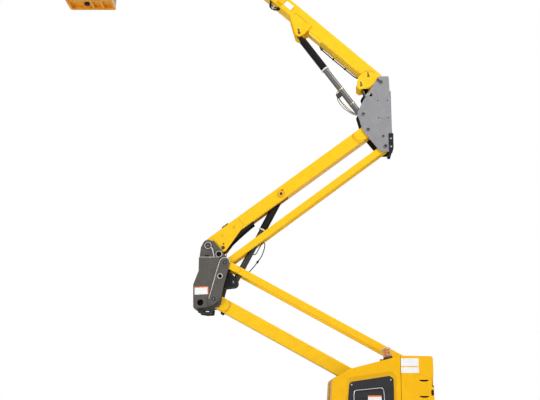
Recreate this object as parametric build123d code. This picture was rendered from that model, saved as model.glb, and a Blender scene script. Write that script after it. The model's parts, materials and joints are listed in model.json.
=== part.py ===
from build123d import *
import os
from math import atan2, cos, degrees, hypot, radians, sin

os.makedirs("parts", exist_ok=True)

# Articulating boom lift, mm. Inside this file the slew axis is X = Y = 0, +X is forward, +Y is left, Z = 0 is
# the ground. Side outlines are lists of (x, z). Angles are degrees above the forward horizontal.

# ---------------------------------------------------------------- sizes of the whole machine
SLEW_X = -1617.0  # slew axis when the machine's length is centred on the origin
RUN = 0.05  # radial running clearance of a pin in its bore
GUIDE = 0.5  # clearance of the telescope's wear pads
SEAT = 0.3  # gap between two pieces where one rests on the other

# Wheels and axles
WHEELBASE = 2040.0
WHEEL_OUT = 765.0  # centre plane of a wheel from the machine's centre plane
TYRE_R = 345.0
TYRE_WIDTH = 250.0
SEAT_R = 222.0  # bead seat between tyre and rim
SPINDLE_R = 45.0
KING_OUT = 560.0
KING_R = 22.0
KING_HALF = 92.0
STEER_REACH = 140.0  # king pin to steering-arm pin
AXLE_HALF_HEIGHT = 65.0

# Chassis and turntable
FRAME_LOW = TYRE_R + 75.0
DECK_Z = TYRE_R + 295.0  # top of the chassis frame
RING_Z = DECK_Z + 75.0  # top of the slew ring
TRAY_Z = RING_Z + 30.0  # top of the turntable base plate
FRAME_HALF = 330.0
TAIL_X = -936.0
SEAM_X = -518.0  # seam between a side hood and the rear box
BODY_HALF = 850.0
VALLEY_HALF = 250.0  # half of the open slot that the riser folds into
POST_IN = 218.0
POST_OUT = 236.0

# Riser: two stacked parallelograms, each with a deep beam and a pair of slim bars
ARM = 2880.0  # every riser beam and bar, pin to pin
LOWER_ANGLE = 28.5
UPPER_ANGLE = 37.0  # above horizontal, pointing rearward
BEAM_HALF = 112.0
BEAM_RISE = 93.0  # half the depth of a riser beam
BEAM_WALL = 8.0
DOUBLER = 8.0
BAR_RISE = 50.0
BAR_WALL = 6.0
LOWER_BAR_IN = 165.0
LOWER_BAR_OUT = 210.0
UPPER_BAR_IN = 68.0
UPPER_BAR_OUT = 118.0
RISER_PIN_R = 30.0
KNUCKLE_IN = 130.0  # inner plates of the middle knuckle
KNUCKLE_OUT = 150.0
COVER_OUT = 215.0
OUTBOARD_OUT = 235.0
HEAD_IN = 126.0  # plates of the upper knuckle
HEAD_OUT = 138.0

# Boom
BOOM_ANGLE = 42.3
BOOM_RISE = 106.0
BOOM_WALL = 8.0
BOOM_TAIL = -95.0
BOOM_MOUTH = 2850.0
TIP = 3770.0  # boom pivot to tip pin, retracted
INNER_HALF = 95.0
INNER_RISE = 83.0
INNER_WALL = 7.0
INNER_TAIL = 620.0
CHEEK_OUT = 122.0

# Jib and platform
JIB_ANGLE = -16.0
JIB = 1040.0
JIB_IN = 60.0
JIB_OUT = 70.0
JIB_RISE = 58.0
LINK_IN = 78.0
LINK_OUT = 98.0
LINK_RISE = 30.0
FORK_IN = 106.0
FORK_OUT = 118.0
JIB_PIN_R = 22.0
JIB_EYE_HALF = 30.0
ROTATOR_X = 3699.0
ROTATOR_R = 80.0
DECK_BACK = 3839.0
DECK_DEPTH = 760.0
DECK_HALF = 915.0
DECK_DROP = 463.0  # jib end pin down to the underside of the platform
DECK_THICK = 60.0
RAIL_HIGH = 1100.0
TUBE_R = 19.0
KICK_HIGH = 150.0


# ---------------------------------------------------------------- helpers
def reach(start, angle, length):
    """Point at a distance from another in the side view."""
    return (start[0] + length * cos(radians(angle)), start[1] + length * sin(radians(angle)))


def shifted(point, dx, dz):
    return (point[0] + dx, point[1] + dz)


def side(y):
    """Side-view sketch plane at a distance left of centre; local x is forward and local y is up."""
    return Plane(origin=(0, y, 0), x_dir=(1, 0, 0), z_dir=(0, -1, 0))


def slab(outline, low, high):
    """Plate with a side outline, standing between two distances left of centre."""
    return extrude(side(high) * outline, high - low)


def twins(outline, low, high):
    """The same plate on both sides of the centre plane."""
    return slab(outline, low, high) + slab(outline, -high, -low)


def disc(at, radius):
    return Pos(*at) * Circle(radius)


def poly(points):
    return make_face(Polyline(*points, close=True))


def rounded(points, radius):
    return make_face(FilletPolyline(*points, radius=radius, close=True))


def belt(*rounds):
    """Outline stretched round a few circles given as (x, z, radius)."""
    return make_hull([disc((x, z), r).edge() for x, z, r in rounds])


def cross(at, radius, half):
    """Round bar through the machine from side to side."""
    return slab(disc(at, radius), -half, half)


def laid(shape, pin, angle):
    """Moves a piece drawn along +X from its first pin to its place and slope."""
    return Pos(pin[0], 0, pin[1]) * Rot(0, -angle, 0) * shape


def block(x0, x1, y0, y1, z0, z1):
    """Box between two corners, given in either order."""
    return Pos((x0 + x1) / 2, (y0 + y1) / 2, (z0 + z1) / 2) * Box(abs(x1 - x0), abs(y1 - y0), abs(z1 - z0))


def box_tube(x0, x1, half_width, half_height, wall, corner=14.0):
    """Rolled or welded box section along +X, open at both ends."""
    ring = RectangleRounded(2 * half_width, 2 * half_height, corner) - Rectangle(
        2 * (half_width - wall), 2 * (half_height - wall)
    )
    return extrude(Plane.YZ.offset(x0) * ring, x1 - x0)


def rod_along(x0, x1, radius):
    return extrude(Plane.YZ.offset(x0) * Circle(radius), x1 - x0)


NODES = {}


def keep(name, shape):
    NODES[name] = shape


# ---------------------------------------------------------------- pins in the side view
T3 = (-579.0, TRAY_Z + 338.0)  # lower beam to turntable
LOWER_OFFSET = (-142.0, 511.0)  # lower beam pin to lower bar pin
UPPER_OFFSET = (250.0, 255.0)  # upper bar pin to upper beam pin
T2 = shifted(T3, *LOWER_OFFSET)
M3 = reach(T3, LOWER_ANGLE, ARM)
M2 = shifted(M3, *LOWER_OFFSET)
M1 = shifted(M2, *UPPER_OFFSET)
U1 = reach(M1, 180 - UPPER_ANGLE, ARM)
U2 = (U1[0] - UPPER_OFFSET[0], U1[1] - UPPER_OFFSET[1])
P1 = shifted(U1, -206.0, 745.0)
RISER_BASE = shifted(M2, -117.0, -266.0)
RISER_EYE_ALONG = (1600.0, -8.0)  # riser cylinder's eye along and above the upper beam, from its upper pin
LIFT_BASE = shifted(U1, 68.0, 238.0)
LIFT_EYE_ALONG = (1443.0, -224.0)
MASTER_BASE = shifted(U1, -220.0, -103.0)
MASTER_EYE_ALONG = (183.6, -230.6)
SPARE_PIN_ALONG = (204.0, -47.7)
BOOM_TIP = reach(P1, BOOM_ANGLE, TIP)
J1 = shifted(BOOM_TIP, 195.0, -56.0)
JIB_OFFSET = (-40.0, 230.0)
J2 = shifted(J1, *JIB_OFFSET)
H1 = reach(J1, JIB_ANGLE, JIB)
H2 = shifted(H1, *JIB_OFFSET)
DECK_LOW = H1[1] - DECK_DROP


def near(pin, *points):
    """Side-view points given from a pin."""
    return [shifted(pin, dx, dz) for dx, dz in points]


def on_arm(pin, angle, along):
    """Place in the side view of a point given along and above an arm that starts at a pin."""
    return reach(reach(pin, angle, along[0]), angle + 90, along[1])


RISER_EYE = on_arm(U1, -UPPER_ANGLE, RISER_EYE_ALONG)
LIFT_EYE = on_arm(P1, BOOM_ANGLE, LIFT_EYE_ALONG)
MASTER_EYE = on_arm(P1, BOOM_ANGLE, MASTER_EYE_ALONG)


# ---------------------------------------------------------------- wheels, axles and chassis
def wheel_pieces(outward):
    """Tyre and rim about the Y axis; outward is +1 for a left wheel."""
    tread = rounded(
        [
            (SEAT_R, -104),
            (238, -104),
            (252, -120),
            (318, -TYRE_WIDTH / 2),
            (TYRE_R, -98),
            (TYRE_R, 98),
            (318, TYRE_WIDTH / 2),
            (252, 120),
            (238, 104),
            (SEAT_R, 104),
        ],
        [0, 0, 8, 18, 18, 18, 18, 8, 0, 0],
    )
    tyre = revolve(tread, Axis.Y)
    barrel = poly(
        [
            (204, -116),
            (238, -116),
            (238, -104),
            (SEAT_R, -104),
            (SEAT_R, 104),
            (238, 104),
            (238, 116),
            (204, 116),
            (204, 52),
            (110, 30),
            (110, 62),
            (78, 62),
            (70, 100),
            (0, 100),
            (0, 40),
            (SPINDLE_R + RUN, 40),
            (SPINDLE_R + RUN, -62),
            (95, -62),
            (95, 16),
            (204, 38),
        ]
    )
    rim = revolve(barrel, Axis.Y)
    for angle in range(0, 360, 45):
        hand_hole = Rot(0, angle, 0) * (Pos(158, 0, 0) * Rot(90, 0, 0) * Cylinder(21, 130))
        rim -= hand_hole
        stud = Rot(0, angle + 22.5, 0) * (Pos(128, 46, 0) * Rot(90, 0, 0) * Cylinder(12, 34))
        rim += stud
    if outward < 0:
        return mirror(tyre, Plane.XZ), mirror(rim, Plane.XZ)
    return tyre, rim


WHEELS = [
    # name, along, side
    ("front_left", 1, 1),
    ("front_right", 1, -1),
    ("rear_left", -1, 1),
    ("rear_right", -1, -1),
]
for name, along, outward in WHEELS:
    tyre, rim = wheel_pieces(outward)
    hub = Pos(along * WHEELBASE / 2, outward * WHEEL_OUT, TYRE_R)
    keep("tyre_" + name, hub * tyre)
    keep("rim_" + name, hub * rim)

FRONT = WHEELBASE / 2
SPINDLE_TIP = WHEEL_OUT + 38.0
HUB_FACE = WHEEL_OUT - 64.0


def axle_round(x, y0, y1, radius, z=TYRE_R):
    return Pos(x, (y0 + y1) / 2, z) * Rot(90, 0, 0) * Cylinder(radius, y1 - y0)


def upright(x, y, z0, z1, radius):
    return Pos(x, y, (z0 + z1) / 2) * Cylinder(radius, z1 - z0)


def steering_knuckle():
    body = upright(FRONT, KING_OUT, TYRE_R - 70, TYRE_R + 70, 46)
    body += axle_round(FRONT, KING_OUT + 30, HUB_FACE, 62)
    body += axle_round(FRONT, HUB_FACE, SPINDLE_TIP, SPINDLE_R)
    arm = belt((FRONT, KING_OUT, 40), (FRONT - STEER_REACH, KING_OUT, 26))
    body += Pos(0, 0, TYRE_R - 62) * extrude(arm, 22)
    body += upright(FRONT - STEER_REACH, KING_OUT, TYRE_R - 62, TYRE_R + 10, 13)
    return body - upright(FRONT, KING_OUT, 0, 2 * TYRE_R, KING_R + RUN)


keep("knuckle_left", steering_knuckle())
keep("knuckle_right", mirror(steering_knuckle(), Plane.XZ))

AXLE_END = 468.0


def pedestal_side(x):
    """Side outline of the plates that carry an axle under the frame."""
    low = TYRE_R - 5
    return poly([(x - 120, FRAME_LOW), (x - 62, low), (x + 62, low), (x + 120, FRAME_LOW)])


front_axle = block(
    FRONT - 55, FRONT + 55, -AXLE_END, AXLE_END, TYRE_R - AXLE_HALF_HEIGHT, TYRE_R + AXLE_HALF_HEIGHT
)
for outward in (1, -1):
    for low in (TYRE_R - KING_HALF, TYRE_R + 72):
        arm = belt((FRONT, outward * 440, 62), (FRONT, outward * KING_OUT, 48))
        front_axle += Pos(0, 0, low) * extrude(arm, KING_HALF - 72)
    front_axle += block(
        FRONT - 55, FRONT + 55, outward * 418, outward * AXLE_END, TYRE_R - KING_HALF, TYRE_R + KING_HALF
    )
    front_axle += upright(FRONT, outward * KING_OUT, TYRE_R - KING_HALF - 8, TYRE_R + KING_HALF + 8, KING_R)
    pedestal = pedestal_side(FRONT)
    front_axle += slab(pedestal, outward * 240 - 10, outward * 240 + 10)
STEER_X = FRONT - STEER_REACH
STEER_ROD_R = 16.0
front_axle += axle_round(STEER_X, -170, 170, 40, TYRE_R) - axle_round(STEER_X, -200, 200, STEER_ROD_R + RUN)
for outward in (1, -1):
    front_axle += block(STEER_X + 25, FRONT - 50, outward * 140 - 14, outward * 140 + 14, TYRE_R - 30, TYRE_R + 30)
keep("front_axle", front_axle)

SLOT_HALF = 52.0
steer_rod = axle_round(STEER_X, -505, 505, STEER_ROD_R)
for outward in (1, -1):
    eye = block(
        STEER_X - SLOT_HALF - 12,
        STEER_X + SLOT_HALF + 12,
        outward * KING_OUT - 34,
        outward * KING_OUT + 34,
        TYRE_R - 18,
        TYRE_R + 18,
    )
    slot = Pos(STEER_X, outward * KING_OUT, TYRE_R) * Box(2 * SLOT_HALF, 34, 60)
    steer_rod += axle_round(STEER_X, outward * 515 - 20, outward * 515 + 20, 22)
    steer_rod += eye - slot
    steer_rod -= slot
keep("steer_rod", steer_rod)

rear_axle = axle_round(-FRONT, -HUB_FACE, HUB_FACE, 62)
for outward in (1, -1):
    rear_axle += axle_round(-FRONT, outward * 620 - 60, outward * 620 + 60, 112)
    rear_axle += axle_round(-FRONT, outward * 530 - 40, outward * 530 + 40, 92)
    rear_axle += axle_round(
        -FRONT, min(outward * HUB_FACE, outward * SPINDLE_TIP), max(outward * HUB_FACE, outward * SPINDLE_TIP), SPINDLE_R
    )
    pedestal = pedestal_side(-FRONT)
    rear_axle += slab(pedestal, outward * 240 - 10, outward * 240 + 10)
rear_axle += block(-FRONT - 80, -FRONT + 80, -110, 110, TYRE_R - 80, FRAME_LOW)
keep("rear_axle", rear_axle)

LUG_X = 1331.0  # tie-down lugs at the frame's ends
LUG_OUT = 250.0
LUG_Z = TYRE_R + 207.0
LUG_HOLE_R = 18.0
frame_side = rounded(
    [(-1290, FRAME_LOW + 80), (-1180, FRAME_LOW), (1180, FRAME_LOW), (1290, FRAME_LOW + 80), (1290, DECK_Z - 40),
     (1230, DECK_Z), (-1230, DECK_Z), (-1290, DECK_Z - 40)],
    20,
)
hollow_side = poly(
    [(-1272, FRAME_LOW + 86), (-1174, FRAME_LOW + 12), (1174, FRAME_LOW + 12), (1272, FRAME_LOW + 86),
     (1272, DECK_Z - 46), (1222, DECK_Z - 20), (-1222, DECK_Z - 20), (-1272, DECK_Z - 46)]
)
chassis = slab(frame_side, -FRAME_HALF, FRAME_HALF) - slab(hollow_side, -FRAME_HALF + 14, FRAME_HALF - 14)
for y in (-110, 110):
    chassis -= block(-500, 500, y - 70, y + 70, FRAME_LOW - 10, FRAME_LOW + 20)
for outward in (1, -1):
    wing = poly([(-560, FRAME_LOW + 40), (560, FRAME_LOW + 40), (600, DECK_Z - 10), (-600, DECK_Z - 10)])
    chassis += slab(wing, min(outward * FRAME_HALF, outward * 520), max(outward * FRAME_HALF, outward * 520))
    for along in (1, -1):
        lug = belt((along * 1262, LUG_Z, 44), (along * LUG_X, LUG_Z, 34)) - disc((along * LUG_X, LUG_Z), LUG_HOLE_R)
        chassis += slab(lug, outward * LUG_OUT - 10, outward * LUG_OUT + 10)
chassis += upright(0, 0, DECK_Z, RING_Z - 30 - SEAT, 430) - upright(0, 0, DECK_Z, RING_Z, 300)
keep("chassis", chassis)

# ---------------------------------------------------------------- turntable
turntable = upright(0, 0, RING_Z - 30, RING_Z, 400) - upright(0, 0, RING_Z - 40, RING_Z, 300)
tray = make_face(
    FilletPolyline(
        (TAIL_X, 150 - BODY_HALF), (-860, -BODY_HALF), (330, -BODY_HALF), (395, 70 - BODY_HALF), (430, -260),
        (430, 260), (395, BODY_HALF - 70), (330, BODY_HALF), (-860, BODY_HALF), (TAIL_X, BODY_HALF - 150), radius=30,
        close=True
    )
)
turntable += Pos(0, 0, RING_Z) * extrude(tray, TRAY_Z - RING_Z)
turntable -= upright(0, 0, RING_Z - 40, TRAY_Z + 5, 180)


def on_tray(*points):
    """Side-view points given by their height above the turntable's base plate."""
    return [(x, TRAY_Z + z) for x, z in points]


post = rounded(
    [*on_tray((-900, -5), (300, -5), (300, 155), (-330, 435)), shifted(T2, 82, 40), shifted(T2, 40, 84),
     shifted(T2, -60, 84), *on_tray((-820, 755), (-820, 455), (-900, 375))],
    [0, 0, 40, 60, 40, 40, 40, 20, 60, 30],
)
turntable += twins(post, POST_IN, POST_OUT)
turntable += block(-900, -888, -POST_IN, POST_IN, TRAY_Z - 5, TRAY_Z + 355)
turntable += block(288, 300, -POST_IN, POST_IN, TRAY_Z - 5, TRAY_Z + 115)
turntable += cross(T3, RISER_PIN_R, 246)
for outward in (1, -1):
    for z in (405, 705):
        turntable += block(-815, -775, outward * POST_OUT, outward * VALLEY_HALF, TRAY_Z + z, TRAY_Z + z + 40)
turntable += twins(disc(T2, RISER_PIN_R), 158, 246)
keep("turntable", turntable)

COVER_GAP = 6.0
SKIN = 10.0
weight = rounded(on_tray((TAIL_X, 45), (-900, SEAT), (-620, SEAT), (-620, 345), (TAIL_X, 345)), [40, 0, 0, 0, 20])
counterweight = slab(weight, -BODY_HALF, BODY_HALF)
counterweight -= block(-905, -560, -POST_OUT - 1, POST_OUT + 1, TRAY_Z - 10, TRAY_Z + 455)
counterweight = fillet(
    counterweight.edges().filter_by(Axis.Z).filter_by(lambda e: abs(abs(e.center().Y) - BODY_HALF) < 1), 60
)
keep("counterweight", counterweight)

BOX_LOW = 351.0  # rear boxes, above the base plate
BOX_HIGH = 917.0
HOOD_HIGH = 913.0  # hood at its seam
HOOD_FRONT = 392.0
rear_front = SEAM_X - COVER_GAP
rear_outline = rounded(
    on_tray((TAIL_X, BOX_LOW), (rear_front, BOX_LOW), (rear_front, BOX_HIGH), (TAIL_X, BOX_HIGH - 7)), [0, 0, 0, 30]
)
rear_hollow = poly(
    on_tray((TAIL_X + SKIN, BOX_LOW - 6), (rear_front + 1, BOX_LOW - 6), (rear_front + 1, BOX_HIGH - SKIN),
            (TAIL_X + SKIN, BOX_HIGH - 7 - SKIN))
)
rear_box = slab(rear_outline, VALLEY_HALF, BODY_HALF) - slab(rear_hollow, VALLEY_HALF + SKIN, BODY_HALF - SKIN)
for z in (407, 606):
    vent = poly(on_tray((-872, z + 10), (-745, z + 10), (-768, z - 8), (-800, z - 13), (-835, z - 12), (-862, z - 6)))
    rear_box -= slab(vent, BODY_HALF - 30, BODY_HALF + 30)
latch = rounded(on_tray((TAIL_X - 5, 520), (TAIL_X + 26, 536), (TAIL_X + 26, 640), (TAIL_X - 5, 656)), [0, 12, 12, 0])
rear_box -= slab(latch, BODY_HALF - 60, BODY_HALF + 5)
rear_box += slab(latch, BODY_HALF - 60, BODY_HALF - 50) & slab(rear_outline, VALLEY_HALF, BODY_HALF)
keep("rear_boxes", rear_box + mirror(rear_box, Plane.XZ))

hood_outline = rounded(
    on_tray((SEAM_X, SEAT), (HOOD_FRONT, SEAT), (348, 617), (137, 750), (SEAM_X, HOOD_HIGH)), [0, 0, 60, 200, 0]
)
hood_hollow = poly(
    on_tray((SEAM_X + SKIN, -5), (HOOD_FRONT - SKIN, -5), (340 - SKIN, 600), (137, 750 - SKIN - 6),
            (SEAM_X + SKIN, HOOD_HIGH - SKIN - 2))
)
bezel = rounded(on_tray((214, 122), (168, 640), (-398, 727), (-462, 672), (-462, 122)), [30, 70, 60, 60, 30])
recess = rounded(on_tray((176, 155), (134, 588), (-381, 666), (-431, 629), (-431, 155)), [16, 45, 40, 35, 16])
RECESS_DEPTH = 26.0
window = rounded(on_tray((80, 200), (76, 484), (-298, 520), (-318, 200)), [30, 40, 40, 30])
HINGE_R = 9.0  # hinge tube of a hood, in line with its upper inner edge


def side_hood():
    shell = slab(hood_outline, VALLEY_HALF, BODY_HALF) - slab(hood_hollow, VALLEY_HALF - 5, BODY_HALF - SKIN)
    for x in (SEAM_X + 10, SEAM_X + 90):
        tube = Pos(0, VALLEY_HALF, TRAY_Z + HOOD_HIGH) * rod_along(x, x + 60, HINGE_R)
        shell += tube + block(x, x + 60, VALLEY_HALF, VALLEY_HALF + HINGE_R, TRAY_Z + HOOD_HIGH - 60,
                              TRAY_Z + HOOD_HIGH)
    back = BODY_HALF - RECESS_DEPTH
    wall = loft([side(BODY_HALF - 1) * offset(bezel, 8), side(back - 14) * offset(recess, 8)], ruled=True)
    hole = loft([side(BODY_HALF) * bezel, side(back) * recess], ruled=True)
    return (shell + wall) - hole - slab(recess, back - 30, back + 1)


def side_panel():
    """Service panel in its bevelled recess, with a raised window frame."""
    back = BODY_HALF - RECESS_DEPTH
    panel = slab(recess, back - 12, back)
    panel += slab(window, back, back + 10) - slab(offset(window, -16), back, back + 12)
    for z in range(240, 420, 36):
        louvre = poly(on_tray((40, z), (40, z + 10), (-270, z + 10), (-270, z)))
        panel -= slab(louvre, back - 6, back + 1)
    return panel


keep("hood_left", side_hood())
keep("hood_right", mirror(side_hood(), Plane.XZ))
keep("hood_panel_left", side_panel())
keep("hood_panel_right", mirror(side_panel(), Plane.XZ))
keep("battery", block(-480, 180, 300, BODY_HALF - 50, TRAY_Z + SEAT, TRAY_Z + 455))
keep("hydraulic_unit", block(-480, 180, 50 - BODY_HALF, -300, TRAY_Z + SEAT, TRAY_Z + 405))
BEACON = (-392.0, 600.0)
HOOD_SLOPE = degrees(atan2(750 - HOOD_HIGH, 137 - SEAM_X))
beacon_seat = TRAY_Z + HOOD_HIGH + (BEACON[0] - SEAM_X) * (750 - HOOD_HIGH) / (137 - SEAM_X)


def on_hood(shape):
    """Moves a piece drawn upward from the origin onto the hood's sloping top."""
    return Pos(BEACON[0], BEACON[1], beacon_seat) * Rot(0, -HOOD_SLOPE, 0) * shape


base_side = make_face(Plane.XZ * Polyline((0, SEAT), (64, SEAT), (64, 14), (54, 34), (0, 34), close=True))
keep("beacon_base", on_hood(revolve(base_side, Axis.Z)))
lens_side = make_face(
    Plane.XZ * FilletPolyline((0, 34), (50, 34), (50, 46), (44, 60), (44, 138), (30, 150), (0, 150), radius=4, close=True)
)
lens = revolve(lens_side, Axis.Z)
for z in range(66, 132, 11):
    lens += Pos(0, 0, z) * (Cylinder(47, 4) - Cylinder(40, 4))
keep("beacon_lens", on_hood(lens))

# ---------------------------------------------------------------- riser
RISER_BORE_R = RISER_PIN_R + RUN
END_R = 88.0
DOUBLER_LONG = 145.0
DOUBLER_END_R = 76.0


def beam(extra_boss_out):
    """Box beam along +X with a bored boss and rounded doubler plates at each end."""
    body = box_tube(55, ARM - 55, BEAM_HALF, BEAM_RISE, BEAM_WALL)
    for x, inward in ((0, 1), (ARM, -1)):
        doubler = belt((x, 0, END_R), (x + inward * DOUBLER_LONG, 0, DOUBLER_END_R))
        body += twins(doubler, BEAM_HALF - BEAM_WALL, BEAM_HALF + DOUBLER)
        body += cross((x, 0), 62, BEAM_HALF)
    body += cross((0, 0), 62, extra_boss_out)
    for x in (0, ARM):
        body -= cross((x, 0), RISER_BORE_R, 300)
    return body


def bars(low, high):
    """Pair of slim box bars along +X, bored at both ends."""
    middle = (low + high) / 2
    tube = Pos(0, middle, 0) * box_tube(30, ARM - 30, (high - low) / 2, BAR_RISE, BAR_WALL, 8)
    for x in (0, ARM):
        tube += slab(disc((x, 0), BAR_RISE), low, high)
    for x in (0, ARM):
        tube -= slab(disc((x, 0), RISER_BORE_R), low - 1, high + 1)
    for x in (180, ARM - 180):
        tube -= Pos(x, middle, -BAR_RISE) * Box(60, 18, 40)
    return tube + mirror(tube, Plane.XZ)


lower_beam = beam(POST_IN - 5)
for x in (300, ARM - 300):
    lower_beam -= Pos(x, 0, BEAM_RISE) * Box(140, 90, 40)
keep("lower_riser", laid(lower_beam, T3, LOWER_ANGLE))
keep("lower_link", laid(bars(LOWER_BAR_IN, LOWER_BAR_OUT), T2, LOWER_ANGLE))

TAIL_PIN = (2726.0, -147.0)
RISER_EYE_HALF = 30.0
EYE_GAP = 5.0  # each side of a rod's eye, which swings free of its pin's two stubs
upper_beam = beam(BEAM_HALF + DOUBLER)
tail_plate = belt((2380, -8, 80), (TAIL_PIN[0], TAIL_PIN[1], 58), (ARM, 0, END_R))
upper_beam += twins(tail_plate, BEAM_HALF - BEAM_WALL, BEAM_HALF + DOUBLER) - cross((ARM, 0), RISER_BORE_R, 300)
upper_beam += cross(TAIL_PIN, 26, BEAM_HALF + DOUBLER + 4)
upper_beam -= block(RISER_EYE_ALONG[0] - 60, RISER_EYE_ALONG[0] + 700, -62, 62, -BEAM_RISE - 5, -BEAM_RISE + 40)
upper_beam += twins(disc(RISER_EYE_ALONG, 46), RISER_EYE_HALF + 12, BEAM_HALF + DOUBLER)
upper_beam += twins(disc(RISER_EYE_ALONG, 26), RISER_EYE_HALF + EYE_GAP, BEAM_HALF + DOUBLER + 4)
PLUG_R = 17.0  # sunk plug welds along the sides
for along, out in ((2636, DOUBLER), (2430, DOUBLER), (2220, 0)):
    upper_beam -= twins(disc((along, 0), PLUG_R), BEAM_HALF + out - 3, BEAM_HALF + out + 1)
keep("upper_riser", laid(upper_beam, U1, -UPPER_ANGLE))
keep("upper_link", laid(bars(UPPER_BAR_IN, UPPER_BAR_OUT), U2, -UPPER_ANGLE))

inner_plate = rounded(
    [shifted(M1, 100, -22), shifted(M1, 52, 66), shifted(M1, -4, 84), shifted(M1, -60, 62),
     *near(M3, (-127, 639), (-207, 533), (-192, 433), (-107, 373), (-107, 43), (-92, -83), (-15, -111), (234, -129),
           (281, -111), (291, 205), (222, 393), (224, 589))],
    [40, 30, 30, 30, 20, 40, 40, 30, 20, 60, 20, 10, 10, 40, 20, 20],
)
knuckle = twins(inner_plate, KNUCKLE_IN, KNUCKLE_OUT)
bracket = belt((*RISER_BASE, 62), (M3[0] - 92, M3[1] + 223, 60), (M3[0] - 82, M3[1] + 343, 50),
               (M3[0] - 205, M3[1] + 335, 50))
knuckle += twins(bracket, 52, 72)
cover = rounded(
    near(M3, (224, 589), (-63, 589), (-63, 503), (-72, 363), (-15, -83), (234, -129), (281, -111), (291, 205),
         (222, 393)),
    12,
)
knuckle += twins(cover, COVER_OUT - 20, COVER_OUT)
outboard = belt((M2[0], M2[1], 69), (M3[0] - 20, M3[1] + 30, 74), (M3[0] + 20, M3[1] - 20, 60))
knuckle += twins(outboard, COVER_OUT, OUTBOARD_OUT)
KNUCKLE_WEBS = [
    # outline from the lower beam's pin, low and high from the centre plane
    ([(274, -105), (284, 205), (216, 393), (218, 583), (204, 583), (202, 393), (270, 203), (260, -105)], 0,
     COVER_OUT - 10),
    ([(98, -109), (273, -125), (273, -107), (98, -91)], 0, COVER_OUT - 10),
    ([(-47, 303), (248, 323), (248, 339), (-47, 319)], KNUCKLE_IN, COVER_OUT - 10),
    ([(-102, 153), (-86, 153), (-72, 343), (-88, 343)], 0, KNUCKLE_IN + 10),
]
for outline, low, high in KNUCKLE_WEBS:
    knuckle += twins(poly(near(M3, *outline)), low, high)
foot = rounded(near(M3, (240, -100), (215, -182), (120, -197), (25, -192), (15, -125), (60, -96), (98, -96)), 12)
foot -= poly(near(M3, (148, -128), (148, -168), (66, -168), (66, -128)))
knuckle += twins(foot, KNUCKLE_IN, KNUCKLE_OUT)
ear_rib = rounded(near(M3, (60, 815), (28, 740), (-22, 594), (-70, 594), (-152, 560), (-160, 600), (40, 850)), [20] * 7)
knuckle += twins(ear_rib, KNUCKLE_OUT, KNUCKLE_OUT + 10)
KNUCKLE_HOLES = [
    # place from the lower beam's pin, hole radius, ring radius (none at zero), outer face of the plate
    ((185, -44), 44, 0, COVER_OUT),
    ((-81, 318), 24, 36, OUTBOARD_OUT),
    ((-50, 640), 34, 48, KNUCKLE_OUT + 10),
]
for place, hole_r, ring_r, face in KNUCKLE_HOLES:
    hole = shifted(M3, *place)
    if ring_r:
        knuckle += twins(disc(hole, ring_r), face - 1, face + 6)
    knuckle -= cross(hole, hole_r, 300)
knuckle -= twins(poly(near(M3, (92, 592), (148, 592), (148, 612), (92, 612))), KNUCKLE_IN - 1, KNUCKLE_OUT + 1)
for pin, ring_r, face in ((M1, 58, KNUCKLE_OUT), (M2, 44, OUTBOARD_OUT), (M3, 44, OUTBOARD_OUT)):
    knuckle += twins(disc(pin, ring_r), face - 1, face + 5)
for pin, half in ((M1, KNUCKLE_OUT + 10), (M2, OUTBOARD_OUT + 8), (M3, OUTBOARD_OUT + 8), (RISER_BASE, 84)):
    knuckle += cross(pin, RISER_PIN_R, half)
keep("mid_knuckle", knuckle)

head_plate = rounded(
    near(U1, (-173, 833), (-325, 833), (-355, -114), (-349, -338), (-172, -338), (81, -15), (156, 262), (58, 463)),
    [30, 30, 0, 30, 30, 60, 40, 30],
)
head = twins(head_plate, HEAD_IN, HEAD_OUT) - cross(shifted(U1, -49, 542), 27, 300)
for hole in near(U1, (-153, 452), (-296, 452), (-160, 186), (-302, 186)):
    head -= cross(hole, 9, 300)
head += block(U1[0] - 350, U1[0] - 338, -HEAD_IN - 6, HEAD_IN + 6, U1[1] - 256, U1[1] + 604)
stop_bar = rounded(near(U1, (-301, -64), (-366, -64), (-364, -290), (-340, -366), (-301, -366)), 8)
head += twins(stop_bar, HEAD_OUT, HEAD_OUT + 10)
for pin in (U1, U2, P1, LIFT_BASE):
    head += cross(pin, RISER_PIN_R, HEAD_OUT + 10)
head += cross(MASTER_BASE, 18, HEAD_OUT + 8)
keep("upper_knuckle", head)


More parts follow.
